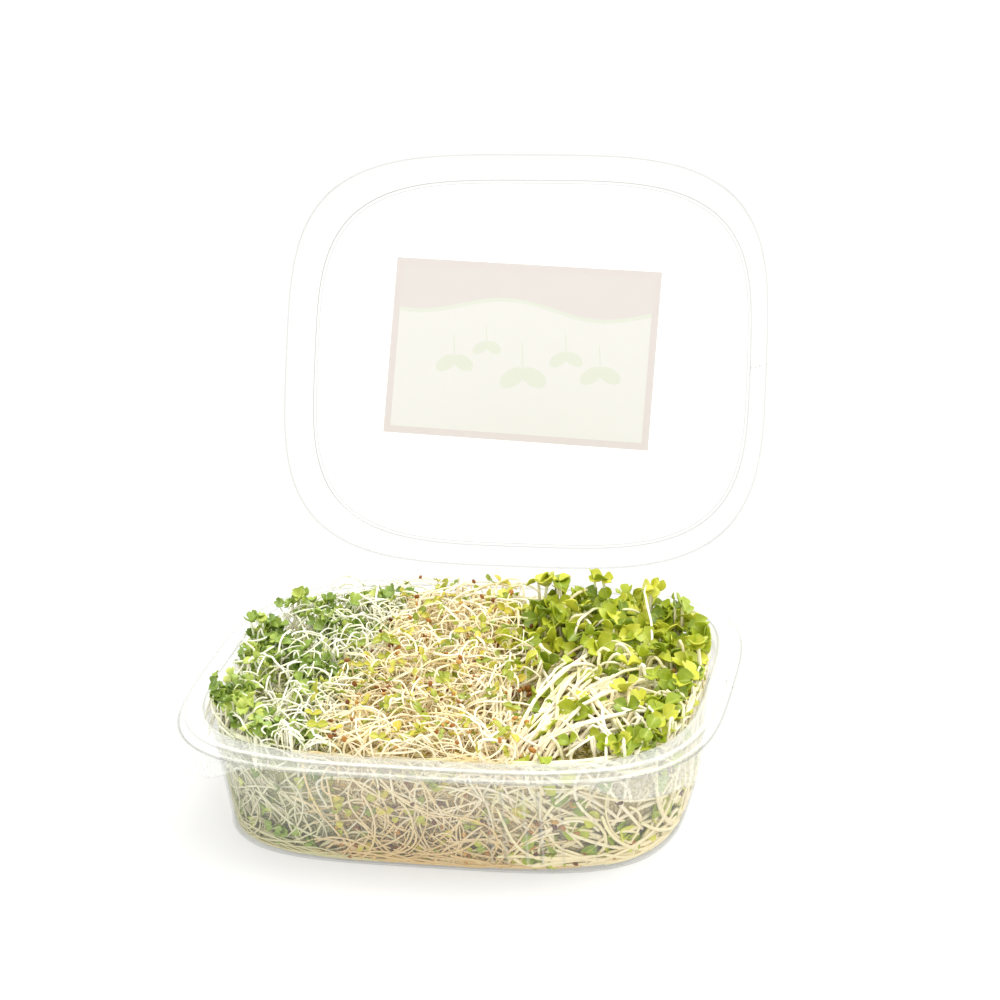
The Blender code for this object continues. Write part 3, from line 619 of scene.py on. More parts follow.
paper = Finish("label_paper", {"Roughness": 0.55, "Specular IOR Level": 0.3})
sheet_place = paper.node("ShaderNodeUVMap", {}, {})
across = paper.axis(sheet_place, "X")
upward = paper.axis(sheet_place, "Y")
from_side = 0.5 - abs(across - 0.5)
from_end = 0.5 - abs(upward - 0.5)
frame_share = 1 - (from_side > FRAME_WIDTH[0]) * (from_end > FRAME_WIDTH[1])
wave = (across * 9.0 + 0.8).sine() * LABEL_WAVE
band_top = BAND_TOP + wave
line_top = LINE_TOP + wave
inked = paper.mixed(upward < band_top, INK_PAPER, INK_BAND)
inked = paper.mixed((upward > band_top) * (upward < line_top), inked, INK_LINE)
for foot_x, foot_y, size in SEEDLINGS:
    right = across - foot_x
    up = (upward - foot_y) * (LABEL_SIZE[1] / LABEL_SIZE[0])
    stalk = (abs(right - up * 0.12) < 0.0022) * (up > 0) * (up < size)
    inked = paper.mixed(stalk, inked, INK_STALK)
    for lean in LEANS:
        c = cos(lean)
        s = sin(lean)
        away = right - (0.12 * size + 0.45 * size * c)
        above = up - (size + 0.45 * size * s)
        run = away * (c / (size * 0.5)) + above * (s / (size * 0.5))
        side = above * (c / (size * 0.3)) - away * (s / (size * 0.3))
        inked = paper.mixed((run * run + side * side) < 1.0, inked, INK_LEAF)
inked = paper.mixed(frame_share, inked, INK_FRAME)
grain = paper.speckle(900, 3)
faded = paper.mixed(paper.told("back") * 0.8, inked, INK_BACK)
paper.shade(Base_Color=paper.mixed(grain * 0.06, faded, (1, 1, 1, 1)))
paper.shade(Normal=paper.bumps(grain, 0.15, 0.0002))


def slab(columns, rows):
    """A unit square with its back at 0 and its front at 1, laid out flat on its UV map."""
    bm = grid(columns, rows)
    laid = bm.loops.layers.uv.new("UVMap")
    raised = bmesh.ops.extrude_face_region(bm, geom=bm.faces[:])["geom"]
    bmesh.ops.translate(bm, verts=picked(raised, VERT), vec=(0, 0, 1))
    bmesh.ops.recalc_face_normals(bm, faces=bm.faces)
    for face in bm.faces:
        for loop in face.loops:
            loop[laid].uv = (0.5 + loop.vert.co.x, 0.5 + loop.vert.co.y)
    return bm


bm = slab(52, 34)
back = bm.verts.layers.float.new("back")
for vert in bm.verts:
    vert[back] = 1 - vert.co.z
    vert.co.z *= LABEL_SHEET
    x = vert.co.x * LABEL_SIZE[0]
    y = vert.co.y * LABEL_SIZE[1]
    cockle = 0.00012 * (1 + noise.noise(Vector((x, y, 0)) * 45))
    vert.co = (x, y, vert.co.z + cockle)
stuck_on = OPENED @ Matrix.Translation(LABEL_CENTRE) @ Matrix.Rotation(LABEL_TURN, 4, "Z")
bmesh.ops.transform(bm, matrix=stuck_on, verts=bm.verts)
label = set_down(bm, "label_sheet", paper, "lid")
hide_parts("label")


# Beds of sprouts
# Deeper down the sprouts are matted too closely to tell apart. Each kind has a lumpy bed,
# with painted shade in its hollows and towards the floor, that its own stems and leaves cover.
LEFT_SEAM = (-0.0330, 0.0)
RIGHT_SEAM = (0.0160, -0.22)
LOWEST = 0.0016
HIGHEST = 0.0558
LID_ROOM = 0.0104
# The tray's section from its floor up to its rim's inner edge
WALL_COURSE = TRAY_COURSE[:6:-1]
WALL_TOP = WALL_COURSE[-1][1]
FLOOR_EDGE = 0.006
BED_GAP = 0.0034
BED_SHOULDER = 0.0185
BED_RINGS = (0.0018, 0.005, 0.011, 0.017, 0.024, 0.031)
BED_DEEP = 0.026
STEM_SIDES = 6
UP = Vector((0, 0, 1))


def wall_inset(z):
    """How far in from the lip the room begins: at the wall, or above the rim at the lid's crown."""
    for (inset_a, z_a), (inset_b, z_b) in zip(WALL_COURSE, WALL_COURSE[1:]):
        if z_a < z_b and z <= z_b:
            return inset_a + (inset_b - inset_a) * max(z - z_a, 0) / (z_b - z_a)
    return LID_ROOM


def reach(x, y, inset):
    """1 on the outline this far in from the lip, less inside it."""
    across = (abs(x) / (HALF_X - inset)) ** RIM_BOW + (abs(y) / (HALF_Y - inset)) ** RIM_BOW
    return across ** (1 / RIM_BOW)


class Kind:
    """One kind of sprout, the room it has between its seams, and its own random draw."""

    def __init__(self, seed, left, right):
        self.draw = random.Random(seed)
        self.left = left
        self.right = right
        self.courses = []

    def seams(self, y):
        low = -1.0 if self.left is None else self.left[0] + self.left[1] * y
        high = 1.0 if self.right is None else self.right[0] + self.right[1] * y
        return low, high

    def within(self, spare, slack):
        """A rule that moves a point no further than it must to lie in this kind's room."""
        def keep(point):
            z = min(max(point.z, LOWEST + spare), HIGHEST - spare)
            share = max(reach(point.x, point.y, wall_inset(z) + spare), 1)
            first, last = self.seams(point.y)
            return Vector((min(max(point.x / share, first - slack), last + slack), point.y / share, z))
        return keep

    def along_wall(self, depth):
        """A rule that holds a point this deep behind the tray's wall."""
        def keep(point):
            z = min(max(point.z, LOWEST + depth * 0.5), WALL_TOP + 0.001)
            share = reach(point.x, point.y, wall_inset(z) + depth)
            return Vector((point.x / share, point.y / share, z))
        return keep

    def wall_spot(self, low, high):
        """A random place along this kind's stretch of the tray's wall."""
        while True:
            x, y = outline_point(self.draw.choice(TURNS), 0.014)
            first, last = self.seams(y)
            if first < x < last:
                return Vector((x, y, low + (high - low) * self.draw.random() ** 1.4))

    def spot(self, x_range, y_range, z, spare=0.002, heights=None):
        """A random place in the room at this height, moved to one between these heights."""
        while True:
            x = self.draw.uniform(*x_range)
            y = self.draw.uniform(*y_range)
            first, last = self.seams(y)
            if first < x < last and reach(x, y, wall_inset(z) + spare) < 1:
                return Vector((x, y, self.draw.uniform(*heights) if heights else z))

    def heading(self, rise):
        """A random direction with this much rise."""
        turn = self.draw.uniform(0, 2 * pi)
        return Vector((cos(turn), sin(turn), rise)).normalized()

    def drift(self, size):
        """A small random step any way."""
        return Vector([self.draw.gauss(0, size) for _ in range(3)])

    def wander(self, start, heading, length, curl, keep, steps=9):
        """A stem's course: it sets out along its heading and curls by a slowly changing amount."""
        step = length / steps
        bend = self.drift(curl)
        points = [keep(start)]
        for _ in range(steps):
            bend += self.drift(curl * 0.4)
            heading = (heading + bend.cross(heading) * step).normalized()
            points.append(keep(points[-1] + heading * step))
            went = points[-1] - points[-2]
            if went.length > step * 0.2:
                heading = (heading + went.normalized()).normalized()
        evened = [(a + b * 2 + c) / 4 for a, b, c in zip(points, points[1:], points[2:])]
        return [points[0], *evened, points[-1]]

    def stem(self, points, radius):
        """Adds a stem: it tapers a little towards both ends, and each end is rounded over."""
        course = [points[0]]
        for point in points[1:]:
            if (point - course[-1]).length > radius * 0.7:
                course.append(point)
        if len(course) < 4:
            return
        course.insert(0, course[0] - (course[1] - course[0]).normalized() * radius * 0.5)
        course.append(course[-1] + (course[-1] - course[-2]).normalized() * radius * 0.5)
        last = len(course) - 1
        radii = [radius * (0.80 + 0.20 * sin(pi * i / last)) for i in range(last + 1)]
        radii[0] = radii[-1] = radius * 0.3
        self.courses.append((course, radii, self.draw.random()))

    def line_wall(self, count, low_depth, depth, top, rise, length, curl, steps, radius):
        """Stems pressed along the tray's wall. Each fourth one lies level at the floor's edge."""
        draw = self.draw.uniform
        for i in range(count):
            low = i % 4 == 0
            keep = self.along_wall(draw(*low_depth) if low else draw(*depth))
            start = self.wall_spot(LOWEST, FLOOR_EDGE if low else top)
            heading = self.heading(0 if low else draw(*rise))
            course = self.wander(start, heading, draw(*length), draw(*curl), keep, steps)
            self.stem(course, draw(*radius))


def arc(foot, rise, lean, tip, count=8):
    """Points along a curve that leaves its foot one way and comes into its tip another."""
    points = []
    for i in range(count):
        t = i / (count - 1)
        s = 1 - t
        points.append(foot * s**3 + rise * (3 * s * s * t) + lean * (3 * s * t * t) + tip * t**3)
    return points


def round_stems(name, kind, finish):
    """A kind's stems as one mesh, with each stem's tint and the way along it as attributes."""
    line = bpy.data.curves.new(name, "CURVE")
    line.dimensions = "3D"
    line.bevel_depth = 1.0
    line.bevel_resolution = STEM_SIDES // 2 - 2
    tints = []
    ways = []
    for points, radii, tint in kind.courses:
        spline = line.splines.new("POLY")
        spline.points.add(len(points) - 1)
        spline.points.foreach_set("co", [number for point in points for number in (*point, 1)])
        spline.points.foreach_set("radius", radii)
        for i in range(len(points)):
            tints.extend([tint] * STEM_SIDES)
            ways.extend([i / (len(points) - 1)] * STEM_SIDES)
    drawn = linked(name, line)
    mesh = bpy.data.meshes.new_from_object(drawn.evaluated_get(bpy.context.evaluated_depsgraph_get()))
    bpy.data.objects.remove(drawn)
    for attribute, values in (("tint", tints), ("way", ways)):
        mesh.attributes.new(attribute, "FLOAT", "POINT").data.foreach_set("value", values)
    mesh.materials.clear()
    return set_down(mesh, name, finish, "tray")


def bed(name, kind, level, pale, stops):
    """The matted mass of one kind, which ends at its seams.

    It is paler along the tray's wall, and painted shade darkens it in its hollows and towards the floor.
    """
    def shape(turn, inset, z):
        x, y = outline_point(turn, inset)
        rough = noise.noise(Vector((x, y, z)) * 110) + 0.6 * noise.noise(Vector((x, y, z)) * 330)
        if z < level - 0.002:
            return *outline_point(turn, inset + 0.0014 * rough), z
        return x, y, z + 0.0035 * rough

    course = [(wall_inset(z) + BED_GAP, z) for z in BED_RINGS]
    course += [(BED_SHOULDER - 0.002, level - 0.003)]
    course += [(BED_SHOULDER + 0.0035 * i, level) for i in range(16)]
    bm = rings(course, shape, TURNS[::2])
    bmesh.ops.edgeloop_fill(bm, edges=[e for e in bm.edges if e.is_boundary])
    bmesh.ops.recalc_face_normals(bm, faces=bm.faces)
    for seam, facing in ((kind.left, -1), (kind.right, 1)):
        if seam is None:
            continue
        cut = bmesh.ops.bisect_plane(
            bm,
            geom=[*bm.verts, *bm.edges, *bm.faces],
            plane_co=(seam[0], 0, 0),
            plane_no=Vector((1, -seam[1], 0)) * facing,
            clear_outer=True,
        )
        bmesh.ops.edgeloop_fill(bm, edges=picked(cut["geom_cut"], EDGE))
    matted = Finish(name + "_finish", {"Roughness": 0.8, "Specular IOR Level": 0.2})
    shift = matted.speckle(260, 1, "Color")
    bent = matted.node("ShaderNodeVectorMath", {"operation": "SCALE"}, {0: shift, "Scale": 0.006})
    bent = matted.node("ShaderNodeVectorMath", {"operation": "ADD"}, {0: matted.place(), 1: bent})
    cells = {"Vector": bent, "Scale": 420}
    gaps = matted.node("ShaderNodeTexVoronoi", {"feature": "DISTANCE_TO_EDGE"}, cells)
    threads = (1 - gaps * 5).at_least(0)
    height = matted.axis(matted.place(), "Z")
    # The hollows between the pale threads take the stops' dark end, as painted shade
    colour = matted.ramp(threads * 0.55 + matted.speckle(150, 3) * 0.6, stops)
    colour = matted.mixed((height < level - 0.002) * 0.5, colour, pale)
    # Painted shade that darkens the bed towards the floor
    painted_shade_colour = (*[part * 0.45 for part in pale[:3]], 1)
    matted.shade(Base_Color=matted.mixed((BED_DEEP - height) * 26, colour, painted_shade_colour))
    matted.shade(Normal=matted.bumps(threads, 0.9, 0.0012))
    return set_down(bm, name, matted, "tray")


# Leaves and seed coats of the sprouts
# Each sprout opens a pair of seed leaves: thin blades folded a little along the midrib, and
# notched at their ends in the cabbage family. Empty brown seed coats stay caught among them.
# A blade's half widths from its foot to its end, and how far its end reaches from the midrib out
BLADE_WIDTHS = {"heart": (0.08, 0.34, 0.50, 0.56, 0.52, 0.36), "oval": (0.10, 0.30, 0.44, 0.48, 0.42, 0.22)}
BLADE_ENDS = {"heart": (0.78, 1.0, 0.90), "oval": (1.0, 0.98, 0.92)}
WALL_LOW = 0.002
RIB_HALF = 0.035
MATTED_TOP = 0.037


class Scatter:
    """One small form copied again and again into one mesh, each copy with its own tint."""

    def __init__(self, kind, form):
        self.kind = kind
        self.bm = form
        self.tint = form.verts.layers.float.new("tint")
        self.form = [*form.verts, *form.edges, *form.faces]

    def copy(self, place, tint):
        """A copy with its points where the rule puts them, moved until it lies in the room."""
        copied = bmesh.ops.duplicate(self.bm, geom=self.form)["geom"]
        verts = picked(copied, VERT)
        for vert in verts:
            vert.co = place(*vert.co)
            vert[self.tint] = tint
        low = min(vert.co.z for vert in verts)
        high = max(vert.co.z for vert in verts)
        bmesh.ops.translate(self.bm, verts=verts, vec=(0, 0, min(HIGHEST - high, 0) + max(LOWEST - low, 0)))
        shares = [(reach(v.co.x, v.co.y, wall_inset(v.co.z) + 0.0002), v.co.copy()) for v in verts]
        share, outer = max(shares, key=lambda found: found[0])
        if share > 1:
            back = outer * (1 / share - 1)
            bmesh.ops.translate(self.bm, verts=verts, vec=(back.x, back.y, 0))

    def gather(self, name, finish):
        """The copies without the form they were made from, set down as one piece."""
        bmesh.ops.delete(self.bm, geom=picked(self.form, VERT), context="VERTS")
        return set_down(self.bm, name, finish, "tray")

    def leaf(self, foot, along, up, length, width, tint):
        """One leaf from its foot along a direction, with its sides raised and its end drooping."""
        draw = self.kind.draw
        side = up.cross(along).normalized()
        up = along.cross(side).normalized()
        fold = draw.uniform(0.4, 1.5) * width
        droop = draw.uniform(-0.1, 0.5) * length

        def place(x, y, z):
            return foot + along * (x * length) + side * (y * width) + up * (fold * y * y - droop * x * x + z)

        self.copy(place, tint)

    def pair(self, tip, stem_way, length, width):
        """Two leaves opened from a stem's tip."""
        draw = self.kind.draw
        tint = draw.random()
        up = (stem_way + Vector((draw.gauss(0, 0.7), draw.gauss(-0.3, 0.7), 0.4))).normalized()
        turn = draw.uniform(0, 2 * pi)
        facing = Vector((cos(turn), sin(turn), 0))
        facing = (facing - up * facing.dot(up)).normalized()
        opened = draw.uniform(0.1, 1.1)
        for side in (1, -1):
            along = (facing * side + up * opened).normalized()
            size = draw.uniform(0.85, 1.1)
            self.leaf(tip, along, up, length * size, width * size, min(max(tint + draw.gauss(0, 0.08), 0), 1))

    def line_wall(self, count, sizes, depths, tops, slim=1.0):
        """Leaves pressed flat behind the tray's wall, up to each of these heights in turn."""
        draw = self.kind.draw
        for i in range(count):
            size = draw.uniform(*sizes)
            keep = self.kind.along_wall(draw.uniform(*depths))
            start = keep(self.kind.wall_spot(WALL_LOW, tops[i % len(tops)]))
            out = Vector((start.x / HALF_X, start.y / HALF_Y, 0)).normalized()
            level = Vector((-out.y, out.x, 0)) * draw.choice((1, -1))
            along = (level + UP * draw.uniform(-1, 1)).normalized()
            self.leaf(start, along, out, size, size * slim, draw.random())

    def seed(self, point, size):
        """One seed coat lying any way."""
        draw = self.kind.draw
        lying = Matrix(((0.5, 0, 0), (0, 0.4, 0), (0, 0, 0.28))) * size
        turned = Quaternion(self.kind.heading(draw.uniform(-1, 1)), draw.uniform(0, 6)).to_matrix() @ lying
        self.copy(lambda x, y, z: point + turned @ Vector((x, y, z)), draw.random())


def blade(shape, thickness):
    """A seed leaf of unit length along X from its foot, and of unit width at most."""
    bm = slab(5, 4)
    for vert in bm.verts:
        u = vert.co.x + 0.5
        v = vert.co.y * 2
        end = BLADE_ENDS[shape][round(abs(v) * 2)]
        width = BLADE_WIDTHS[shape][round(u * 5)]
        vert.co = (u * (1 + (end - 1) * u * u), v * width, (vert.co.z - 0.5) * thickness)
    return bm


def seed_coat():
    """A ball of unit radius, which each copy flattens."""
    bm = bmesh.new()
    bmesh.ops.create_uvsphere(bm, u_segments=8, v_segments=5, radius=1)
    return bm


def leaf_finish(name, stops, rib_colour):
    """Thin fresh leaf of its own tint, with a paler midrib, a soft mottle and a waxy gloss."""
    made = Finish(name, {"Roughness": 0.40, "Specular IOR Level": 0.45})
    mottle = made.speckle(500, 2)
    colour = made.ramp(made.told("tint") * 0.8 + mottle * 0.5 - 0.15, stops)
    over = made.axis(made.node("ShaderNodeUVMap", {}, {}), "Y")
    rib = (abs(over - 0.5) < RIB_HALF) * 0.35
    made.shade(Base_Color=made.mixed(rib, colour, rib_colour))
    made.shade(Normal=made.bumps(mottle, 0.25, 0.0004))
    return made


def stem_finish(name, stops, foot, tip, matted):
    """Fresh stem: watery white or cream of its own tint, coloured a little towards its ends.

    Towards the tray's floor it turns darker and duller.
    """
    made = Finish(name, {"Roughness": 0.32, "Specular IOR Level": 0.5})
    way = made.told("way")
    colour = made.ramp(made.told("tint"), stops)
    colour = made.mixed((way ** 3.0) * 0.7, colour, tip)
    colour = made.mixed(((1 - way) ** 3.0) * 0.6, colour, foot)
    height = made.axis(made.place(), "Z")
    made.shade(Base_Color=made.mixed((MATTED_TOP - height) * 25, colour, matted))
    made.shade(Normal=made.bumps(made.speckle(700, 1), 0.2, 0.0003))
    return made


def seed_finish(name, stops):
    """Papery seed coat, browner in some than in others."""
    made = Finish(name, {"Roughness": 0.5, "Specular IOR Level": 0.3})
    grain = made.speckle(1500, 3)
    made.shade(Base_Color=made.ramp(made.told("tint") * 0.8 + grain * 0.4 - 0.1, stops))
    made.shade(Normal=made.bumps(grain, 0.4, 0.0003))
    return made


# Broccoli sprouts
# The left third: thin white stems, each with a pair of small mid-green seed leaves. They
# stand packed along the wall and the back, and loose stems arc over towards the middle.
BROCCOLI_TOP = 0.0520
broccoli = Kind(11, None, LEFT_SEAM)


def back_drop(y):
    """How much lower the heap lies towards the back."""
    return 0.0030 * max(y / HALF_Y, 0) ** 2


def dipped(course, depth, top=1.0, drop=0):
    """The course held under a height, with both of its ends sunk this deep into the heap."""
    last = len(course) - 1
    held = [Vector((p.x, p.y, min(p.z, top - drop * back_drop(p.y)))) for p in course]
    return [p - UP * (depth * abs(2 * i / last - 1) ** 3) for i, p in enumerate(held)]


bed("broccoli_bed", broccoli, 0.0385, (0.50, 0.50, 0.24, 1), (
    (0.30, (0.20, 0.21, 0.03)),
    (0.50, (0.56, 0.54, 0.20)),
    (0.66, (0.86, 0.83, 0.54)),
))
leaves = Scatter(broccoli, blade("heart", 0.00030))
draw = broccoli.draw
between = draw.uniform
gauss = draw.gauss
broccoli.line_wall(
    500, low_depth=(0.0004, 0.0014), depth=(0.0012, 0.0038), top=0.038, rise=(-0.6, 1.2),
    length=(0.018, 0.042), curl=(15, 60), steps=11, radius=(0.00022, 0.00044),
)
leaves.line_wall(150, sizes=(0.0028, 0.0044), depths=(0.0006, 0.0030), tops=(0.038, 0.010))
# Clumps of upright sprouts: tallest at the tray's rim, fewer inside and towards the middle
for _ in range(150):
    middle = broccoli.spot((-0.088, -0.036), (-0.07, 0.07), 0.044, 0.001)
    if middle.x > -0.054 + 0.26 * max(middle.y, 0) and draw.random() < 0.55:
        continue
    if middle.x < -0.066 and draw.random() < 0.30:
        continue
    edge = reach(middle.x, middle.y, LID_ROOM)
    if edge < 0.80 and draw.random() < 0.35:
        continue
    drop = back_drop(middle.y)
    height = 0.0430 + 0.0100 * edge**4 * draw.random() + between(-0.0035, 0.0015) - drop
    for _ in range(draw.randrange(2, 8)):
        foot = Vector((middle.x + gauss(0, 0.0034), middle.y + gauss(-0.001, 0.0034), 0))
        foot.z = between(0.033, 0.037)
        tip = Vector((middle.x + gauss(-0.0004, 0.0025), middle.y + gauss(0.0004, 0.0025), 0))
        tip.z = min(height + gauss(0, 0.0020), BROCCOLI_TOP - 1.8 * drop)
        tip = broccoli.within(0.0015, 0)(tip)
        course = arc(foot, foot.lerp(tip, 0.4), tip - UP * 0.003, tip, 7)
        broccoli.stem(course, between(0.00030, 0.00044))
        size = between(0.0026, 0.0040)
        leaves.pair(tip, UP, size, size)
# Stems that arch over
for _ in range(58):
    foot = broccoli.spot((-0.086, -0.038), (-0.066, 0.064), 0.046, heights=(0.039, 0.043))
    tip = foot + Vector((gauss(0.012, 0.016), gauss(0, 0.018), between(-0.001, 0.005)))
    top = UP * (between(0.006, 0.012) - back_drop(foot.y))
    keep = broccoli.within(0.0008, between(0.002, 0.012))
    course = arc(foot, foot.lerp(tip, 0.2) + top, foot.lerp(tip, 0.7) + top, tip, 12)
    course = [keep(p + broccoli.drift(0.0002)) for p in course]
    broccoli.stem(course, between(0.00028, 0.00042))
# Short loose stems that have lost their leaves
for i in range(230):
    first = -0.086 if i % 2 else -0.062
    start = broccoli.spot((first, -0.036), (-0.068, 0.066), 0.044, heights=(0.038, 0.045))
    heading = Vector((gauss(0.1, 0.6), gauss(0, 0.6), between(0.4, 3.0))).normalized()
    length = between(0.008, 0.022)
    keep = broccoli.within(0.0008, between(0, 0.010))
    course = broccoli.wander(start, heading, length, 60, keep)
    course = dipped(course, 0.0015, top=0.0490, drop=1)
    broccoli.stem(course, between(0.00022, 0.00038))
broccoli_stem = stem_finish(
    "broccoli_stem", ((0.0, (0.86, 0.83, 0.60)), (0.4, (0.92, 0.90, 0.78)), (1.0, (0.96, 0.95, 0.90))),
    foot=(0.94, 0.86, 0.62, 1), tip=(0.76, 0.84, 0.46, 1), matted=(0.53, 0.49, 0.24, 1),
)
stems = round_stems("broccoli_stems", broccoli, broccoli_stem)
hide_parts("broccoli_sprouts")
broccoli_leaf = leaf_finish("broccoli_leaf", (
    (0.0, (0.10, 0.18, 0.018)),
    (0.4, (0.24, 0.35, 0.045)),
    (0.75, (0.43, 0.52, 0.09)),
    (1.0, (0.66, 0.70, 0.20)),
), rib_colour=(0.52, 0.62, 0.24, 1))
leaves.gather("broccoli_leaves", broccoli_leaf)


# Alfalfa sprouts
# The middle third: thin curly cream stems in a springy tangle, with brown seed coats and tiny
# yellow-green leaves caught among them.
alfalfa = Kind(22, LEFT_SEAM, RIGHT_SEAM)
bed("alfalfa_bed", alfalfa, 0.0395, (0.72, 0.50, 0.20, 1), (
    (0.28, (0.36, 0.20, 0.03)),
    (0.44, (0.80, 0.60, 0.20)),
    (0.60, (0.95, 0.84, 0.48)),
))
leaves = Scatter(alfalfa, blade("oval", 0.00028))
coats = Scatter(alfalfa, seed_coat())
draw = alfalfa.draw
between = draw.uniform
gauss = draw.gauss
alfalfa.line_wall(
    440, low_depth=(0.0004, 0.0014), depth=(0.0008, 0.0036), top=0.041, rise=(-0.8, 1.0),
    length=(0.014, 0.038), curl=(12, 75), steps=10, radius=(0.00020, 0.00044),
)
leaves.line_wall(130, sizes=(0.0026, 0.0042), depths=(0.0006, 0.0026), tops=(0.040,), slim=0.75)
for i in range(90):
    spot = alfalfa.wall_spot(WALL_LOW, 0.008 if i % 2 else 0.038)
    coats.seed(alfalfa.along_wall(between(0.0012, 0.0022))(spot), between(0.0018, 0.0028))
# The tangle on top, with a pair of leaves or a seed coat on some of its stems
for _ in range(760):
    start = alfalfa.spot((-0.034, 0.034), (-0.07, 0.064), 0.044, 0.000)
    start.z = between(0.0380, 0.0455) - back_drop(start.y)
    keep = alfalfa.within(0.0008, between(0, 0.012))
    length = between(0.014, 0.042)
    heading = alfalfa.heading(between(-0.1, 1.0))
    course = alfalfa.wander(start, heading, length, between(20, 95), keep, 12)
    top = 0.0490 + 0.003 * draw.random() - back_drop(start.y) * 1.6
    course = dipped(course, 0.0030, top)
    alfalfa.stem(course, 0.00018 + 0.00030 * draw.random() ** 1.6)
    if draw.random() < 0.44:
        size = between(0.0020, 0.0038)
        leaves.pair(course[-1] + UP * 0.0028, UP, size, size * 0.75)
    if draw.random() < 0.26:
        coats.seed(course[draw.randrange(4, 12)] + UP * 0.0006, between(0.0012, 0.0027))
alfalfa_stem = stem_finish(
    "alfalfa_stem", ((0.0, (0.92, 0.70, 0.34)), (0.3, (0.95, 0.83, 0.56)), (1.0, (0.97, 0.93, 0.80))),
    foot=(0.94, 0.74, 0.40, 1), tip=(0.94, 0.90, 0.54, 1), matted=(0.60, 0.41, 0.16, 1),
)
stems = round_stems("alfalfa_stems", alfalfa, alfalfa_stem)
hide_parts("alfalfa_sprouts")
alfalfa_leaf = leaf_finish(
    "alfalfa_leaf", ((0.0, (0.18, 0.26, 0.02)), (0.5, (0.42, 0.44, 0.035)), (1.0, (0.66, 0.52, 0.06))),
    rib_colour=(0.76, 0.76, 0.34, 1),
)
leaves.gather("alfalfa_leaves", alfalfa_leaf)
seed_brown = seed_finish("seed_brown", (
    (0.0, (0.05, 0.016, 0.008)),
    (0.4, (0.20, 0.06, 0.012)),
    (0.7, (0.42, 0.18, 0.03)),
    (1.0, (0.66, 0.42, 0.12)),
))
coats.gather("alfalfa_seed_coats", seed_brown)


# Radish sprouts
# The right third: thick watery white stems that fan up from the front and stand at the back
# and the right, under large heart-shaped yellow-green seed leaves.

# Where pairs of sprouts stand above the others, and how high
RADISH_TALL = ((0.015, 0.058), (0.023, 0.060), (0.039, 0.063), (0.067, 0.045), (0.084, 0.010), (0.056, 0.058))
RADISH_TOP = 0.0530
radish = Kind(33, RIGHT_SEAM, None)
bed("radish_bed", radish, 0.0375, (0.78, 0.64, 0.36, 1), (
    (0.30, (0.26, 0.22, 0.02)),
    (0.50, (0.66, 0.54, 0.16)),
    (0.66, (0.92, 0.78, 0.46)),
))
leaves = Scatter(radish, blade("heart", 0.00038))
coats = Scatter(radish, seed_coat())
draw = radish.draw
between = draw.uniform
gauss = draw.gauss
radish.line_wall(
    400, low_depth=(0.0006, 0.0016), depth=(0.0012, 0.0040), top=0.041, rise=(-0.5, 1.2),
    length=(0.022, 0.050), curl=(10, 40), steps=11, radius=(0.00040, 0.00070),
)
leaves.line_wall(160, sizes=(0.0042, 0.0066), depths=(0.0006, 0.0032), tops=(0.012, 0.038, 0.038))
for i in range(80):
    keep = radish.along_wall(between(0.0014, 0.0026))
    spot = radish.wall_spot(WALL_LOW, 0.008 if i % 2 else 0.030)
    coats.seed(keep(spot), between(0.0024, 0.0034))


def radish_sprout(foot, tip, bow):
    """A stem that leans aside by its bow, with its pair of leaves."""
    foot.z = between(0.033, 0.038)
    tip = radish.within(0.0030, 0)(tip)
    course = arc(foot, foot.lerp(tip, 0.35) + bow, tip - UP * 0.004, tip)
    radish.stem(course, between(0.00045, 0.00070))
    size = between(0.0048, 0.0068)
    leaves.pair(tip, (tip - foot).normalized(), size, size * between(0.9, 1.05))


# Upright sprouts: three in five at the back, the others at the right
for i in range(210):
    if i % 5 < 3:
        foot = radish.spot((0.000, 0.088), (0.024, 0.070), 0.046)
    else:
        foot = radish.spot((0.062, 0.088), (-0.062, 0.060), 0.046)
    lean = Vector((gauss(0.001, 0.005), gauss(0.001, 0.005), 0))
    top = UP * (between(-0.007, 0.0025) - back_drop(foot.y))
    radish_sprout(foot.copy(), foot + lean + top, lean * 0.5)
for x, y in RADISH_TALL:
    for _ in range(2):
        foot = Vector((x + gauss(0, 0.002), y - 0.004 + gauss(0, 0.002), 0))
        tip = Vector((x + gauss(0, 0.002), y + gauss(0, 0.001), RADISH_TOP))
        radish_sprout(foot, tip, Vector())
for _ in range(30):
    foot = radish.spot((0.008, 0.064), (-0.066, 0.030), 0.046)
    lean = Vector((gauss(0.003, 0.006), gauss(0.003, 0.006), 0))
    radish_sprout(foot, foot + lean + UP * between(-0.003, 0.001), lean * 0.5)


def long_stem(foot, tip, bow, lift, radius):
    """A long stem laid over the heap: it leans aside by its bow and rises by its lift on the way."""
    ahead = tip - foot
    aside = Vector((-ahead.y, ahead.x, 0)) * bow
    rise = foot.lerp(tip, 0.3) + aside + UP * lift
    lean = foot.lerp(tip, 0.75) + aside * between(-0.4, 1.0) + UP * (lift * 1.2)
    keep = radish.within(0.0010, between(0, 0.009))
    course = dipped(arc(foot, rise, lean, tip, 13), 0.0028)
    radish.stem([keep(p + radish.drift(0.0002)) for p in course], radius)


def around(x, y, z, spread):
    """A random place near this one."""
    return Vector((x, y, z)) + Vector((gauss(0, spread), gauss(0, spread), gauss(0, 0.0012)))


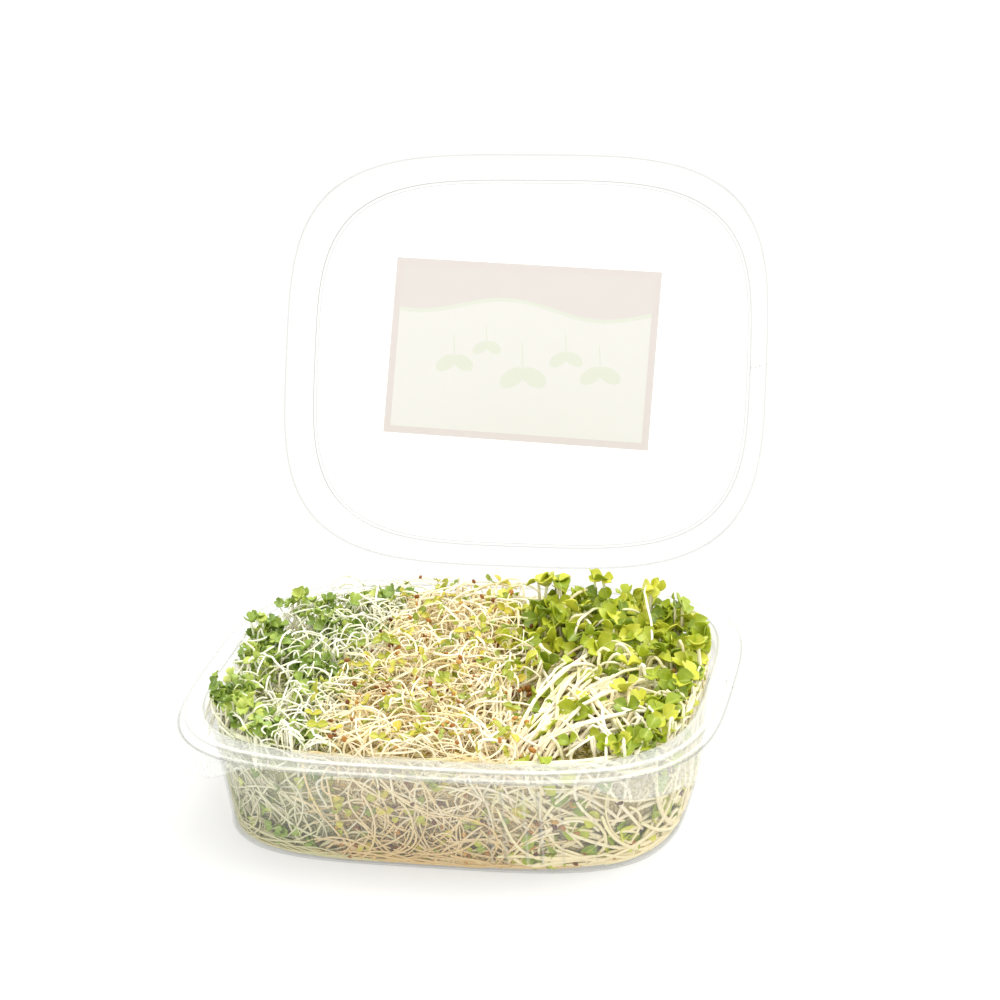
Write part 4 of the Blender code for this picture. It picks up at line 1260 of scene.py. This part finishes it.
# Long stems that rise together at the front and part towards the back and the right
for _ in range(13):
    foot = around(0.030, -0.060, 0.0405, 0.006)
    tip = around(0.038, 0.018, 0.0410, 0.0075)
    long_stem(foot, tip, gauss(-0.06, 0.08), between(0.002, 0.008), between(0.00046, 0.00078))
for _ in range(32):
    way = draw.random()
    foot = around(0.020 + 0.030 * draw.random(), -0.060 + 0.026 * draw.random() * way, 0.0415, 0.002)
    tip = around(0.050 + 0.030 * way, 0.030 - 0.060 * way, 0.0415, 0.008)
    long_stem(foot, tip, gauss(0.02, 0.14), between(0.001, 0.008), between(0.00042, 0.00076))
for _ in range(9):
    foot = around(0.014, -0.050, 0.0415, 0.004)
    tip = around(0.014, 0.004, 0.0430, 0.008)
    long_stem(foot, tip, gauss(0, 0.14), 0.004, between(0.00040, 0.00062))
for _ in range(22):
    foot = around(0.048, -0.006, 0.0430, 0.009)
    tip = around(0.064, -0.044, 0.0420, 0.010)
    long_stem(foot, tip, gauss(0, 0.12), 0.006, between(0.00042, 0.00070))
long_stem(Vector((0.062, 0.004, 0.0430)), Vector((0.055, 0.060, 0.0548)), -0.16, 0.001, 0.00042)
# Stems that arch over and droop again at the front right
for _ in range(46):
    foot = radish.spot((0.036, 0.084), (-0.062, 0.020), 0.046, heights=(0.037, 0.041))
    tip = foot + radish.heading(0) * between(0.006, 0.018)
    long_stem(foot, tip, gauss(0, 0.2), between(0.006, 0.013), between(0.00040, 0.00066))
# Loose stems, then loose leaves and seed coats
for _ in range(34):
    start = radish.spot((0.002, 0.084), (-0.066, 0.062), 0.046, heights=(0.038, 0.044))
    heading = Vector((gauss(0.4, 0.6), gauss(0.6, 0.6), between(0.0, 0.6))).normalized()
    keep = radish.within(0.0012, between(0, 0.008))
    course = radish.wander(start, heading, between(0.018, 0.040), 30, keep, 11)
    course = dipped(course, 0.0036, top=0.0485)
    radish.stem(course, between(0.00040, 0.00066))
for _ in range(190):
    spot = radish.spot((0.004, 0.086), (-0.068, 0.062), 0.046, heights=(0.0390, 0.0440))
    if draw.random() < 0.2:
        coats.seed(spot, between(0.0020, 0.0034))
    elif spot.y > -0.010 or abs(spot.x - 0.045) > 0.030 or draw.random() < 0.35:
        size = between(0.0044, 0.0066)
        leaves.leaf(spot, radish.heading(0.2), radish.heading(0.8), size, size, draw.random())
radish_stem = stem_finish(
    "radish_stem", ((0.0, (0.86, 0.74, 0.44)), (0.4, (0.93, 0.86, 0.64)), (1.0, (0.96, 0.93, 0.82))),
    foot=(0.94, 0.78, 0.56, 1), tip=(0.82, 0.84, 0.40, 1), matted=(0.84, 0.73, 0.45, 1),
)
stems = round_stems("radish_stems", radish, radish_stem)
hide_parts("radish_sprouts")
radish_leaf = leaf_finish(
    "radish_leaf", ((0.0, (0.13, 0.21, 0.008)), (0.45, (0.36, 0.44, 0.016)), (1.0, (0.70, 0.68, 0.07))),
    rib_colour=(0.62, 0.70, 0.18, 1),
)
leaves.gather("radish_leaves", radish_leaf)
coats.gather("radish_seed_coats", seed_brown)

bpy.context.view_layer.update()
